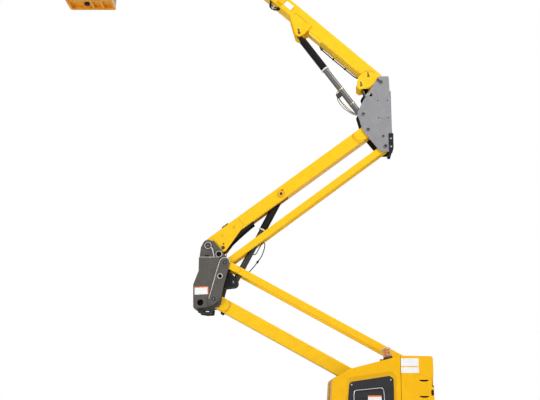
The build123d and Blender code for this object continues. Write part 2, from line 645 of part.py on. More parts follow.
# ---------------------------------------------------------------- cylinders
def cylinder(length, barrel_length, barrel_r, rod_r, base_eye, rod_eye, pin_r, run_out, sleeve_from=0.0, sleeve_r=0.0):
    """Barrel, rod and bellows along +X, from the base pin at zero to the rod's eye at the given length.

    Each eye is given as (radius, half width). The rod can run out from here by run_out. The bellows hang on the rod
    and slide over the barrel.
    """
    eye_r, eye_half = base_eye
    bore_r = barrel_r - 8
    bore_end = barrel_length - GLAND
    barrel = rod_along(eye_r * 0.7, barrel_length, barrel_r) - rod_along(eye_r + 24, bore_end, bore_r)
    barrel -= rod_along(bore_end - 20, barrel_length + 1, rod_r + RUN)
    barrel += cross((0, 0), eye_r, eye_half)
    barrel -= cross((0, 0), pin_r + RUN, eye_half + 1)
    piston = bore_end - run_out - 6
    rod = rod_along(piston - 40, length, rod_r) + rod_along(piston - 40, piston, bore_r - RUN)
    rod += cross((length, 0), *rod_eye)
    if not sleeve_r:
        return barrel, rod, None
    start = barrel_length - SLEEVE_LAP
    end = length - sleeve_from
    count = int((end - start) // PLEAT)
    pitch = (end - start) / count
    inner_r = barrel_r + 2
    root_r = sleeve_r - PLEAT_DEPTH
    pleats = []
    for step in range(count):
        x = start + step * pitch
        pleats += [(x, root_r), (x + pitch / 2, sleeve_r)]
    profile = [(start, inner_r), *pleats, (end, root_r), (end, rod_r), (end - 10, rod_r), (end - 10, inner_r)]
    bellows = revolve(make_face(Plane.XZ * Polyline(*profile, close=True)), Axis.X)
    return barrel, rod, bellows


def distance(a, b):
    return hypot(b[0] - a[0], b[1] - a[1])


def slope(a, b):
    return degrees(atan2(b[1] - a[1], b[0] - a[0]))


SLEEVE_LAP = 8.0  # how far the bellows reach over the barrel at rest
PLEAT = 22.0
PLEAT_DEPTH = 6.0
GLAND = 40.0  # length of the head that closes a barrel round its rod
riser_length = distance(RISER_BASE, RISER_EYE)
riser_slope = slope(RISER_BASE, RISER_EYE)
barrel, rod, bellows = cylinder(
    riser_length, 883, 45, 24, (44, 38), (28, RISER_EYE_HALF), RISER_PIN_R, 307, sleeve_from=125, sleeve_r=56
)
keep("riser_barrel", laid(barrel, RISER_BASE, riser_slope))
keep("riser_rod", laid(rod, RISER_BASE, riser_slope))
keep("riser_bellows", laid(bellows, RISER_BASE, riser_slope))

LIFT_EYE_HALF = 36.0
lift_length = distance(LIFT_BASE, LIFT_EYE)
lift_slope = slope(LIFT_BASE, LIFT_EYE)
barrel, rod, bellows = cylinder(
    lift_length, 960, 46, 26, (48, 42), (33, LIFT_EYE_HALF), RISER_PIN_R, 276, sleeve_from=90, sleeve_r=58
)
keep("lift_barrel", laid(barrel, LIFT_BASE, lift_slope))
keep("lift_rod", laid(rod, LIFT_BASE, lift_slope))
keep("lift_bellows", laid(bellows, LIFT_BASE, lift_slope))

MASTER_EYE_HALF = 20.0
MASTER_OUT = 81.0  # the levelling cylinder stands left of the lift cylinder, inside the boom's cheek
master_length = distance(MASTER_BASE, MASTER_EYE)
master_slope = slope(MASTER_BASE, MASTER_EYE)
barrel, rod, _ = cylinder(master_length, 560, 28, 15, (32, 26), (30, MASTER_EYE_HALF), 18, 148)
keep("master_barrel", Pos(0, MASTER_OUT, 0) * laid(barrel, MASTER_BASE, master_slope))
keep("master_rod", Pos(0, MASTER_OUT, 0) * laid(rod, MASTER_BASE, master_slope))

# ---------------------------------------------------------------- boom
boom = box_tube(BOOM_TAIL + 35, BOOM_MOUTH, BEAM_HALF, BOOM_RISE, BOOM_WALL, 18)
tail_doubler = belt((0, 0, 92), (330, 0, 90))
boom += twins(tail_doubler, BEAM_HALF - BOOM_WALL, BEAM_HALF + DOUBLER)
boom += cross((0, 0), 60, BEAM_HALF)
cheek = rounded([(305, -156), (300, -20), (262, 44), (190, 60), (70, -60), (67, -146), (150, -290), (205, -297), (272, -229)],
                [20, 40, 30, 40, 20, 20, 25, 25, 30])
boom += twins(cheek, BEAM_HALF, CHEEK_OUT)
boom -= cross((0, 0), RISER_BORE_R, 300)
boom += slab(disc(MASTER_EYE_ALONG, 20), MASTER_OUT + MASTER_EYE_HALF + EYE_GAP, CHEEK_OUT + 2)
boom += slab(disc(MASTER_EYE_ALONG, 20), -CHEEK_OUT - 2, MASTER_OUT - MASTER_EYE_HALF - EYE_GAP)
boom += twins(disc(SPARE_PIN_ALONG, 24), BEAM_HALF - 4, CHEEK_OUT + 2)
lift_cheek = rounded([(1378, 5), (1378, -180), (1402, -262), (1443, -278), (1484, -270), (1724, -118), (1777, -67), (1715, -22)],
                     [12, 30, 25, 20, 30, 30, 20, 12])
boom += twins(lift_cheek, BEAM_HALF, CHEEK_OUT)
boom += twins(disc(LIFT_EYE_ALONG, 26), LIFT_EYE_HALF + EYE_GAP, CHEEK_OUT + 6)
boom += block(1956, 2053, BEAM_HALF - 3, BEAM_HALF + 36, -47, 61)
collar = box_tube(BOOM_MOUTH - 90, BOOM_MOUTH, BEAM_HALF + 10, BOOM_RISE + 10, 12, 20)
boom += collar
for sign in (1, -1):
    boom += block(BOOM_MOUTH - 120, BOOM_MOUTH, -50, 50, sign * (INNER_RISE + GUIDE), sign * (BOOM_RISE - 4))
    boom += block(BOOM_MOUTH - 120, BOOM_MOUTH, sign * (INNER_HALF + GUIDE), sign * (BEAM_HALF - 4), -45, 45)
keep("main_boom", laid(boom, P1, BOOM_ANGLE))

extension = box_tube(INNER_TAIL, TIP - 50, INNER_HALF, INNER_RISE, INNER_WALL, 10)
tip_doubler = belt((TIP, 0, 70), (TIP - 260, 0, 70))
extension += twins(tip_doubler, INNER_HALF - INNER_WALL, INNER_HALF + 5)
extension += cross((TIP, 0), 52, INNER_HALF)
extension -= cross((TIP, 0), JIB_PIN_R + 4 + RUN, 200)
for sign in (1, -1):
    extension += block(INNER_TAIL, INNER_TAIL + 120, -45, 45, sign * (INNER_RISE - 3),
                       sign * (BOOM_RISE - BOOM_WALL - GUIDE))
    extension += block(INNER_TAIL, INNER_TAIL + 120, sign * (INNER_HALF - 3),
                       sign * (BEAM_HALF - BOOM_WALL - GUIDE), -40, 40)
keep("boom_extension", laid(extension, P1, BOOM_ANGLE))

# ---------------------------------------------------------------- jib
base_plate = belt((BOOM_TIP[0], BOOM_TIP[1], 72), (J1[0], J1[1], 58), (J2[0], J2[1], 52))
jib_base = twins(base_plate, FORK_IN, FORK_OUT)
jib_base += cross(BOOM_TIP, JIB_PIN_R + 4, FORK_OUT + 8)
for pin in (J1, J2):
    jib_base += cross(pin, JIB_PIN_R, FORK_OUT + 8)
jib_base += cross(shifted(BOOM_TIP, 53, 106), 20, FORK_IN + 4)
keep("jib_base", jib_base)

arm = slab(belt((0, 0, JIB_RISE), (JIB, 0, JIB_RISE)), -JIB_OUT, JIB_OUT)
arm -= block(-100, JIB + 100, -JIB_IN, JIB_IN, -JIB_RISE + 9, 100)
for x0, x1 in ((-100, 110), (JIB - 110, JIB + 100)):
    arm -= block(x0, x1, -JIB_IN, JIB_IN, -100, 0)
for x in (0, JIB):
    arm += twins(disc((x, 0), 40), JIB_OUT, LINK_IN - 4)
    arm -= cross((x, 0), JIB_PIN_R + RUN, 200)
keep("jib_arm", laid(arm, J1, JIB_ANGLE))

link = twins(belt((0, 0, 38), (60, 0, LINK_RISE), (JIB - 60, 0, LINK_RISE), (JIB, 0, 38)), LINK_IN, LINK_OUT)
for x in (0, JIB):
    link -= cross((x, 0), JIB_PIN_R + RUN, 200)
keep("jib_link", laid(link, J2, JIB_ANGLE))

HEAD_WEB = (ROTATOR_X - 97.0, ROTATOR_X - 72.0)  # cross plate between the jib's end and the rotator
head_side = belt((H1[0], H1[1], 46), (H2[0], H2[1], 46), (HEAD_WEB[1] - 20, H1[1] + 10, 20),
                 (HEAD_WEB[1] - 20, H2[1] - 10, 20))
jib_head = twins(head_side, FORK_IN, FORK_OUT)
jib_head += cross(H1, JIB_PIN_R, FORK_OUT + 8)
jib_head += twins(disc(H2, JIB_PIN_R), JIB_EYE_HALF + EYE_GAP, FORK_OUT + 8)
ROTATOR_LOW = H1[1] - 90
ROTATOR_HIGH = H2[1] + 62
jib_head += upright(ROTATOR_X, 0, ROTATOR_LOW, ROTATOR_HIGH, ROTATOR_R)
jib_head += block(HEAD_WEB[0], HEAD_WEB[1], -FORK_IN - 4, FORK_IN + 4, H1[1] + 2, H2[1] - 2)
jib_head += block(HEAD_WEB[0] + 8, ROTATOR_X - 30, -58, 58, H1[1] + 14, H2[1] - 14)
keep("jib_head", jib_head)

jib_length = distance(J1, H2)
jib_slope = slope(J1, H2)
barrel, rod, _ = cylinder(jib_length, 620, 34, 18, (36, 30), (34, JIB_EYE_HALF), JIB_PIN_R, 262)
keep("jib_barrel", laid(barrel, J1, jib_slope))
keep("jib_rod", laid(rod, J1, jib_slope))

# ---------------------------------------------------------------- platform
DECK_FRONT = DECK_BACK + DECK_DEPTH
DECK_TOP = DECK_LOW + DECK_THICK
RAIL_TOP = DECK_TOP + RAIL_HIGH
deck_plan = Pos((DECK_BACK + DECK_FRONT) / 2, 0, 0) * RectangleRounded(DECK_DEPTH, 2 * DECK_HALF, 40)
deck = Pos(0, 0, DECK_TOP - 6) * extrude(deck_plan, 6)
rim_plan = deck_plan - offset(deck_plan, -40)
deck += Pos(0, 0, DECK_LOW) * extrude(rim_plan, DECK_THICK)
for x in (DECK_BACK + 200, DECK_BACK + 365):
    deck += block(x - 20, x + 20, 20 - DECK_HALF, DECK_HALF - 20, DECK_LOW + 10, DECK_TOP - 3)
for y in (-630, 0, 630):
    deck += block(DECK_BACK + 20, DECK_FRONT - 20, y - 25, y + 25, DECK_LOW + 14, DECK_TOP - 3)
MAST_HALF = 70.0
deck += block(ROTATOR_X - 60, DECK_BACK + 60, -150, 150, DECK_LOW, DECK_LOW + 40)
mast = block(DECK_BACK - 46, DECK_BACK - 6, -MAST_HALF, MAST_HALF, DECK_LOW + 40, ROTATOR_HIGH + 40)
arm_end = DECK_BACK - 10
arm_plan = Pos(ROTATOR_X, 0, 0) * Circle(64)
arm_plan += Pos((ROTATOR_X + arm_end) / 2, 0, 0) * Rectangle(arm_end - ROTATOR_X, 116)
for low in (ROTATOR_HIGH + 8, ROTATOR_LOW - 40):
    mast += Pos(0, 0, low) * extrude(arm_plan, 32)
mast += upright(ROTATOR_X, 0, ROTATOR_HIGH + 0.2, ROTATOR_HIGH + 12, 50)
mast += upright(ROTATOR_X, 0, ROTATOR_LOW - 12, ROTATOR_LOW - 0.2, 50)
keep("platform_mount", mast)
keep("platform_deck", deck)

BACK_X = DECK_BACK + TUBE_R
FRONT_X = DECK_FRONT - TUBE_R
SIDE_Y = DECK_HALF - TUBE_R
TOP_Z = RAIL_TOP - TUBE_R
MID_Z = DECK_TOP + 580
POST_R = 17.0


def tube_loop(z, x0, x1, y0, y1, open_side=False):
    path = FilletPolyline((x0, y0, z), (x1, y0, z), (x1, y1, z), (x0, y1, z), radius=60, close=not open_side)
    start = Plane(origin=(x0, y0, z), z_dir=(1, 0, 0)) if open_side else Plane(origin=path @ 0, z_dir=path % 0)
    return sweep(start * Circle(TUBE_R), path=path)


rails = tube_loop(TOP_Z, BACK_X, FRONT_X, -SIDE_Y, SIDE_Y)
rails += tube_loop(MID_Z, BACK_X, FRONT_X, -SIDE_Y, SIDE_Y)
GATE_BACK = BACK_X + 90
GATE_FRONT = FRONT_X - 90
gap = block(GATE_BACK, GATE_FRONT, SIDE_Y - 60, SIDE_Y + 60, DECK_TOP, RAIL_TOP - 3 * TUBE_R)
for y in (-SIDE_Y, 0, SIDE_Y):
    for x in (BACK_X, FRONT_X):
        rails += upright(x + (90 if x == BACK_X and y else -90 if y else 0), y, DECK_TOP, TOP_Z - 3, POST_R)
for x in (BACK_X, FRONT_X):
    for y in (-SIDE_Y + 90, SIDE_Y - 90):
        rails += upright(x, y, DECK_TOP, TOP_Z - 3, POST_R)
rails -= block(GATE_BACK + TUBE_R + 4, GATE_FRONT - TUBE_R - 4, SIDE_Y - 60, SIDE_Y + 60, DECK_TOP, TOP_Z - 30)
kick_plan = deck_plan - offset(deck_plan, -5)
kick = Pos(0, 0, DECK_TOP) * extrude(kick_plan, KICK_HIGH)
kick -= block(GATE_BACK - 5, GATE_FRONT + 5, SIDE_Y - 60, DECK_HALF + 60, DECK_TOP - 1, DECK_TOP + KICK_HIGH + 5)
rails += kick
HINGE_X = GATE_BACK + 40
GATE_LOW = DECK_TOP + 60
GATE_HIGH = TOP_Z - 80
HINGE_PIN_R = 6.0
for low, high, pin_low, pin_high in (
    (GATE_LOW - 13, GATE_LOW - GUIDE, GATE_LOW - 5, GATE_LOW + 40),
    (GATE_HIGH + GUIDE, GATE_HIGH + 13, GATE_HIGH - 40, GATE_HIGH + 5),
):
    rails += block(GATE_BACK, HINGE_X + 12, SIDE_Y - 10, SIDE_Y + 10, low, high)
    rails += upright(HINGE_X, SIDE_Y, pin_low, pin_high, HINGE_PIN_R)
keep("platform_rails", rails)

gate = upright(HINGE_X, SIDE_Y, GATE_LOW, GATE_HIGH, 16)
gate += upright(GATE_FRONT - 52, SIDE_Y, GATE_LOW, GATE_HIGH, 16)
for z in (GATE_LOW + 70, MID_Z, GATE_HIGH - 70):
    gate += Pos(0, SIDE_Y, z) * rod_along(HINGE_X + 9, GATE_FRONT - 60, 12)
for low, high in ((GATE_LOW, GATE_LOW + 42), (GATE_HIGH - 42, GATE_HIGH)):
    gate -= upright(HINGE_X, SIDE_Y, low, high, HINGE_PIN_R + RUN)
keep("platform_gate", gate)

console = rounded([(0, 0), (170, 0), (190, 60), (60, 160), (0, 160)], [15, 15, 15, 15, 15])
console_box = Pos(BACK_X + TUBE_R, 0, TOP_Z - 120) * slab(console, -260, 260)
keep("control_console", console_box)

# ---------------------------------------------------------------- hand over
for name, shape in NODES.items():
    export_step(Pos(SLEW_X, 0, 0) * shape, "parts/" + name + ".step")
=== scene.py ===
import json
import math

import bmesh
import bpy
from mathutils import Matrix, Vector


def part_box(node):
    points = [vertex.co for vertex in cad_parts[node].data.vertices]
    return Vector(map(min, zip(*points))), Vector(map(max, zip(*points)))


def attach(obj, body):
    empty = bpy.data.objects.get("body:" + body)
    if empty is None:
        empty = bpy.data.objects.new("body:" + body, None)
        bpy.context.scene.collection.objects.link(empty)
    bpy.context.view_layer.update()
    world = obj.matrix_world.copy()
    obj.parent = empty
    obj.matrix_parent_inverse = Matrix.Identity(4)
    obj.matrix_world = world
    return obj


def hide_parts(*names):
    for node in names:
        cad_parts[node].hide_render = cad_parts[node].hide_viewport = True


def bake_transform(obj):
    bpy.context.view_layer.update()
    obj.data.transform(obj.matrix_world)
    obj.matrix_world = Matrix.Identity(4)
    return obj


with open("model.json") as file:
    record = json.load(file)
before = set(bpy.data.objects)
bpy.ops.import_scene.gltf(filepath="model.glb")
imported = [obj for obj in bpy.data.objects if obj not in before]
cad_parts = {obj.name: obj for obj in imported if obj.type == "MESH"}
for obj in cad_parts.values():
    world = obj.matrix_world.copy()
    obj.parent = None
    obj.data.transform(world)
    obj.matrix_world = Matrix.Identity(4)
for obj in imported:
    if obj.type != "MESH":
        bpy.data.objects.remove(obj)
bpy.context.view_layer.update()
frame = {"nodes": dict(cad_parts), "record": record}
NODES = frame["nodes"]

# Side-view places (class Side) and tube radii are in millimetres, all other lengths in metres.
SLEW_X = -1.617  # X of the slew axis
BOTH = (1, -1)  # the machine's left and right side


# ---------------------------------------------------------------- materials
ROAD_DUST = (0.33, 0.28, 0.22)
DUST_TOP = 0.9  # height where the dust ends
PAINTED_SHADE = (0.012, 0.012, 0.012)  # painted shade on faces between or below the plates


def link(tree, a, b):
    tree.links.new(a, b)


def ramp(tree, source, stops):
    node = tree.nodes.new("ShaderNodeValToRGB")
    elements = node.color_ramp.elements
    while len(elements) < len(stops):
        elements.new(0.5)
    for element, (at, colour) in zip(elements, stops):
        element.position = at
        element.color = (*colour, 1.0)
    link(tree, source, node.inputs["Fac"])
    return node.outputs["Color"]


def noise(tree, coords, scale, detail=4.0, roughness=0.55):
    node = tree.nodes.new("ShaderNodeTexNoise")
    node.inputs["Scale"].default_value = scale
    node.inputs["Detail"].default_value = detail
    node.inputs["Roughness"].default_value = roughness
    link(tree, coords, node.inputs["Vector"])
    return node.outputs["Fac"]


def remap(tree, source, span, result):
    """Maps a value from one span to another."""
    node = tree.nodes.new("ShaderNodeMapRange")
    for name, value in zip(("From Min", "From Max", "To Min", "To Max"), (*span, *result)):
        node.inputs[name].default_value = value
    link(tree, source, node.inputs["Value"])
    return node.outputs["Result"]


def below(tree, source, limit):
    """1 where the value is under the limit, else 0."""
    node = tree.nodes.new("ShaderNodeMath")
    node.operation = "LESS_THAN"
    link(tree, source, node.inputs[0])
    node.inputs[1].default_value = limit
    return node.outputs[0]


def cover(tree, base, share, colour):
    """Lays a flat colour over the base by a share of 0 to 1."""
    mix = tree.nodes.new("ShaderNodeMixRGB")
    mix.inputs["Color2"].default_value = (*colour, 1.0)
    link(tree, share, mix.inputs["Fac"])
    link(tree, base, mix.inputs["Color1"])
    return mix.outputs["Color"]


def shade(colour, factor):
    return tuple(min(1.0, c * factor) for c in colour)


def surface(name, colour, rough, metallic=0.0, coat=0.0, grain=9.0, fleck=140.0, vary=0.08, bump=0.12,
            dust=0.0, clear=0.0, gloss=0.5, inside=None, under=None):
    """Procedural surface: cloudy colour, uneven gloss, fine bump, and road dust near the ground.

    Faces nearer the centre plane than `inside`, or lower than `under`, get painted shade.
    """
    material = bpy.data.materials.new(name)
    material.use_nodes = True
    tree = material.node_tree
    shader = tree.nodes["Principled BSDF"]
    coords = tree.nodes.new("ShaderNodeTexCoord").outputs["Object"]
    place = tree.nodes.new("ShaderNodeSeparateXYZ")
    link(tree, coords, place.inputs[0])
    cloud = noise(tree, coords, grain)
    fine = noise(tree, coords, fleck, 6.0, 0.6)
    base = ramp(tree, cloud, [(0.3, shade(colour, 1 - vary)), (0.7, shade(colour, 1 + vary))])
    if dust:
        patch = tree.nodes.new("ShaderNodeMath")
        patch.operation = "MULTIPLY"
        link(tree, remap(tree, place.outputs["Z"], (0.0, DUST_TOP), (dust, 0.0)), patch.inputs[0])
        link(tree, cloud, patch.inputs[1])
        base = cover(tree, base, patch.outputs[0], ROAD_DUST)
    # Painted shade: faces near the centre plane, and low faces, take the dark shade colour.
    if inside:
        out = tree.nodes.new("ShaderNodeMath")
        out.operation = "ABSOLUTE"
        link(tree, place.outputs["Y"], out.inputs[0])
        base = cover(tree, base, below(tree, out.outputs[0], inside), PAINTED_SHADE)
    if under:
        base = cover(tree, base, below(tree, place.outputs["Z"], under), PAINTED_SHADE)
    link(tree, base, shader.inputs["Base Color"])
    sheen = remap(tree, fine, (0.0, 1.0), (max(0.02, rough - 0.07), min(1.0, rough + 0.09)))
    link(tree, sheen, shader.inputs["Roughness"])
    lift = tree.nodes.new("ShaderNodeBump")
    lift.inputs["Strength"].default_value = bump
    lift.inputs["Distance"].default_value = 0.002
    link(tree, fine, lift.inputs["Height"])
    link(tree, lift.outputs["Normal"], shader.inputs["Normal"])
    shader.inputs["Metallic"].default_value = metallic
    shader.inputs["Specular IOR Level"].default_value = gloss
    shader.inputs["Coat Weight"].default_value = coat
    shader.inputs["Coat Roughness"].default_value = 0.12
    if clear:
        shader.inputs["Transmission Weight"].default_value = clear
    return material


KNUCKLE_INSIDE = 0.1295  # faces of the middle knuckle nearer the centre than this get painted shade
KNUCKLE_GREY = (0.085, 0.075, 0.062)
YELLOW = surface("arm_yellow", (0.97, 0.57, 0.006), 0.36, coat=0.1, vary=0.04, bump=0.015, gloss=0.25)
ORANGE = surface("hood_yellow", (0.93, 0.49, 0.003), 0.32, coat=0.06, vary=0.04, bump=0.02, gloss=0.2)
# The knuckles' grey gets painted shade on faces near the centre plane; the middle knuckle's own look also
# gets it below 2.334 m.
BROWN = surface("knuckle_grey", KNUCKLE_GREY, 0.45, coat=0.1, vary=0.12, bump=0.08, inside=KNUCKLE_INSIDE)
FOOT = surface("knuckle_lower", KNUCKLE_GREY, 0.45, coat=0.1, vary=0.12, bump=0.08, inside=KNUCKLE_INSIDE,
               under=2.334)
GREY = surface("head_grey", (0.27, 0.27, 0.28), 0.42, coat=0.1, vary=0.06, bump=0.06, inside=0.1262)
DARK = surface("chassis_paint", (0.06, 0.058, 0.055), 0.45, coat=0.2, vary=0.15, dust=0.9)
PANEL = surface("panel_dark", (0.016, 0.016, 0.018), 0.55, vary=0.2)
CAST = surface("weight_paint", (0.07, 0.062, 0.052), 0.55, fleck=60, bump=0.4, vary=0.15)
CASE = surface("battery_case", (0.02, 0.02, 0.024), 0.5, vary=0.2)
TYRE = surface("tyre", (0.017, 0.017, 0.018), 0.8, fleck=220, bump=0.4, vary=0.25, dust=0.5)
RIM = surface("rim_paint", (0.72, 0.72, 0.70), 0.35, coat=0.4, vary=0.06, dust=0.5)
BARREL = surface("barrel_grey", (0.115, 0.108, 0.105), 0.36, coat=0.15, vary=0.06, bump=0.03)
BARREL_DARK = surface("barrel_dark", (0.03, 0.024, 0.018), 0.34, coat=0.2, vary=0.1, bump=0.03)
CHROME = surface("rod_chrome", (0.78, 0.79, 0.8), 0.12, metallic=1.0, vary=0.03, bump=0.03)
BELLOWS = surface("bellows", (0.008, 0.008, 0.009), 0.7, vary=0.2, gloss=0.25)
RAIL = surface("platform_paint", (0.2, 0.2, 0.205), 0.42, coat=0.3, vary=0.1)
CONSOLE = surface("console_plastic", (0.02, 0.02, 0.022), 0.5, vary=0.2)
AMBER = surface("beacon_amber", (0.98, 0.42, 0.08), 0.12, vary=0.05, clear=0.45, bump=0.03)
# Black rubber; also the black discs and blocks of painted shade in holes and behind vents.
RUBBER_AND_SHADE = surface("rubber_black_and_painted_shade", (0.009, 0.009, 0.01), 0.6, vary=0.25, fleck=200, gloss=0.25)
# Light grey on the middle knuckle's weld beads and edges: painted highlight.
KNUCKLE_HIGHLIGHT = surface("knuckle_painted_highlight", (0.7, 0.68, 0.64), 0.45, vary=0.25, bump=0.3)
PINS = surface("pin_dark_steel", (0.075, 0.072, 0.07), 0.34, metallic=0.5, vary=0.2)
# Zinc bolts, nuts and wire; also the painted highlight along the hood panels' frames.
ZINC_AND_HIGHLIGHT = surface("zinc_and_painted_highlight", (0.72, 0.73, 0.74), 0.28, metallic=0.7, vary=0.1)
# Darker yellow of the weld beads on the arms, and painted shade in the boom's slot weld.
WELD_AND_SHADE_YELLOW = surface("weld_yellow_and_painted_shade", (0.62, 0.3, 0.006), 0.45, vary=0.15, bump=0.3)
SEAM_GREY = surface("weld_grey", (0.16, 0.16, 0.17), 0.5, vary=0.15, bump=0.3)
# Bright yellow: painted highlight along the boom bracket's bottom edge; the wear strip takes it too.
HIGHLIGHT_YELLOW = surface("painted_highlight_yellow", (1.0, 0.68, 0.05), 0.3, vary=0.04)
WHITE = surface("decal_white", (0.9, 0.9, 0.89), 0.35, coat=0.3, vary=0.03, bump=0.03)
SIGNAL = surface("decal_orange", (0.85, 0.2, 0.02), 0.4, vary=0.06, bump=0.03)
SIGNAL_RED = surface("stop_red", (0.6, 0.012, 0.01), 0.3, coat=0.4, vary=0.05, bump=0.03)
SIGNAL_YELLOW = surface("decal_yellow", (0.9, 0.5, 0.02), 0.4, vary=0.06, bump=0.03)
CREAM = surface("clamp_cream", (0.78, 0.74, 0.62), 0.45, vary=0.1)
BRASS = surface("fitting_brass", (0.55, 0.42, 0.2), 0.35, metallic=0.8, vary=0.15)
DECK = surface("deck_paint", (0.85, 0.36, 0.012), 0.42, coat=0.2, vary=0.1, fleck=90, bump=0.25)

LOOKS = {
    "arm_yellow": YELLOW, "hood_yellow": ORANGE, "panel_dark": PANEL, "knuckle_grey": BROWN,
    "head_grey": GREY, "chassis_paint": DARK, "weight_paint": CAST, "battery_case": CASE, "tyre": TYRE,
    "rim_paint": RIM,
    "barrel_grey": BARREL, "rod_chrome": CHROME, "bellows": BELLOWS, "platform_paint": RAIL,
    "console_plastic": CONSOLE, "beacon_amber": AMBER, "deck_paint": DECK,
}
for part in frame["record"]["subparts"]:
    node = NODES[part["node"]]
    for index in range(len(node.material_slots)):
        node.material_slots[index].material = LOOKS[part["material_slot"]]
OWN_LOOKS = {
    "mid_knuckle": FOOT, "riser_barrel": BARREL_DARK, "master_barrel": BARREL_DARK, "master_rod": PINS,
    "riser_rod": PINS, "lift_rod": PINS,
}
for name, look in OWN_LOOKS.items():
    for entry in NODES[name].material_slots:
        entry.material = look

# ---------------------------------------------------------------- side-view places
PIN = {j["name"]: Vector(j["pos_m"]) for j in frame["record"]["behaviour"]["joints"] if j.get("pos_m")}


class Side:
    """A side-view frame in millimetres: along an arm from a pin, across it, and out to the machine's left."""

    def __init__(self, origin, degrees=0.0):
        self.origin = origin
        self.cos = math.cos(math.radians(degrees))
        self.sin = math.sin(math.radians(degrees))

    def at(self, along, across, out=0.0):
        x = along * self.cos - across * self.sin
        z = along * self.sin + across * self.cos
        return Vector((self.origin.x + x / 1000, out / 1000, self.origin.z + z / 1000))


def facing(a, b):
    """Side-view angle of the line from a to b."""
    return math.degrees(math.atan2(b.z - a.z, b.x - a.x))


LOWER_ANGLE, UPPER_ANGLE, BOOM_ANGLE = 28.5, -37.0, 42.3  # the arms' slopes at rest
KNUCKLE = Side(PIN["mid_knuckle_level"])
LOWER = Side(PIN["mid_knuckle_level"], LOWER_ANGLE)
LOWER_LINK = Side(PIN["upper_link_swing"], LOWER_ANGLE)
UPPER = Side(PIN["upper_knuckle_level"], UPPER_ANGLE)
HEAD = Side(PIN["upper_knuckle_level"])
BOOM = Side(PIN["boom_lift"], BOOM_ANGLE)
BODY = Side(Vector((SLEW_X, 0, 0)))

RISER_EYE = (1600, -8)  # the riser cylinder's upper pin, in UPPER
LIFT_EYE = (1443, -224)  # the lift cylinder's upper pin, in BOOM
RISER = Side(PIN["riser_barrel_swing"], facing(PIN["riser_barrel_swing"], UPPER.at(*RISER_EYE)))
LIFT = Side(PIN["lift_barrel_swing"], facing(PIN["lift_barrel_swing"], BOOM.at(*LIFT_EYE)))


# ---------------------------------------------------------------- small builders
def around(count):
    """Angles of evenly spaced points round a circle."""
    return [i * math.tau / count for i in range(count)]


def smooth_line(points, step):
    """A Catmull-Rom line through the points, cut about every step metres."""
    if len(points) == 2:
        count = max(1, int((points[1] - points[0]).length / step))
        return [points[0].lerp(points[1], i / count) for i in range(count + 1)]
    ends = [points[0] * 2 - points[1], *points, points[-1] * 2 - points[-2]]
    line = []
    for a, b, c, d in zip(ends, ends[1:], ends[2:], ends[3:]):
        count = max(2, int((c - b).length / step))
        for i in range(count):
            t = i / count
            line.append(0.5 * (2 * b + (c - a) * t + (2 * a - 5 * b + 4 * c - d) * t * t
                               + (3 * b - a - 3 * c + d) * t * t * t))
    line.append(points[-1])
    return line


def round_rect(left, right, low, high, r=8):
    """Corner-rounded rectangle as a side-view outline."""
    points = []
    for cx, cz, start in ((right - r, high - r, 0), (left + r, high - r, 90), (left + r, low + r, 180),
                          (right - r, low + r, 270)):
        for k in range(5):
            t = math.radians(start + k * 22.5)
            points.append((cx + r * math.cos(t), cz + r * math.sin(t)))
    return points


def strap(a, b, half):
    """Side-view outline of a flat bar from a to b."""
    across = Vector((a[1] - b[1], b[0] - a[0])).normalized() * half
    return [(a[0] + across.x, a[1] + across.y), (a[0] - across.x, a[1] - across.y),
            (b[0] - across.x, b[1] - across.y), (b[0] + across.x, b[1] + across.y)]


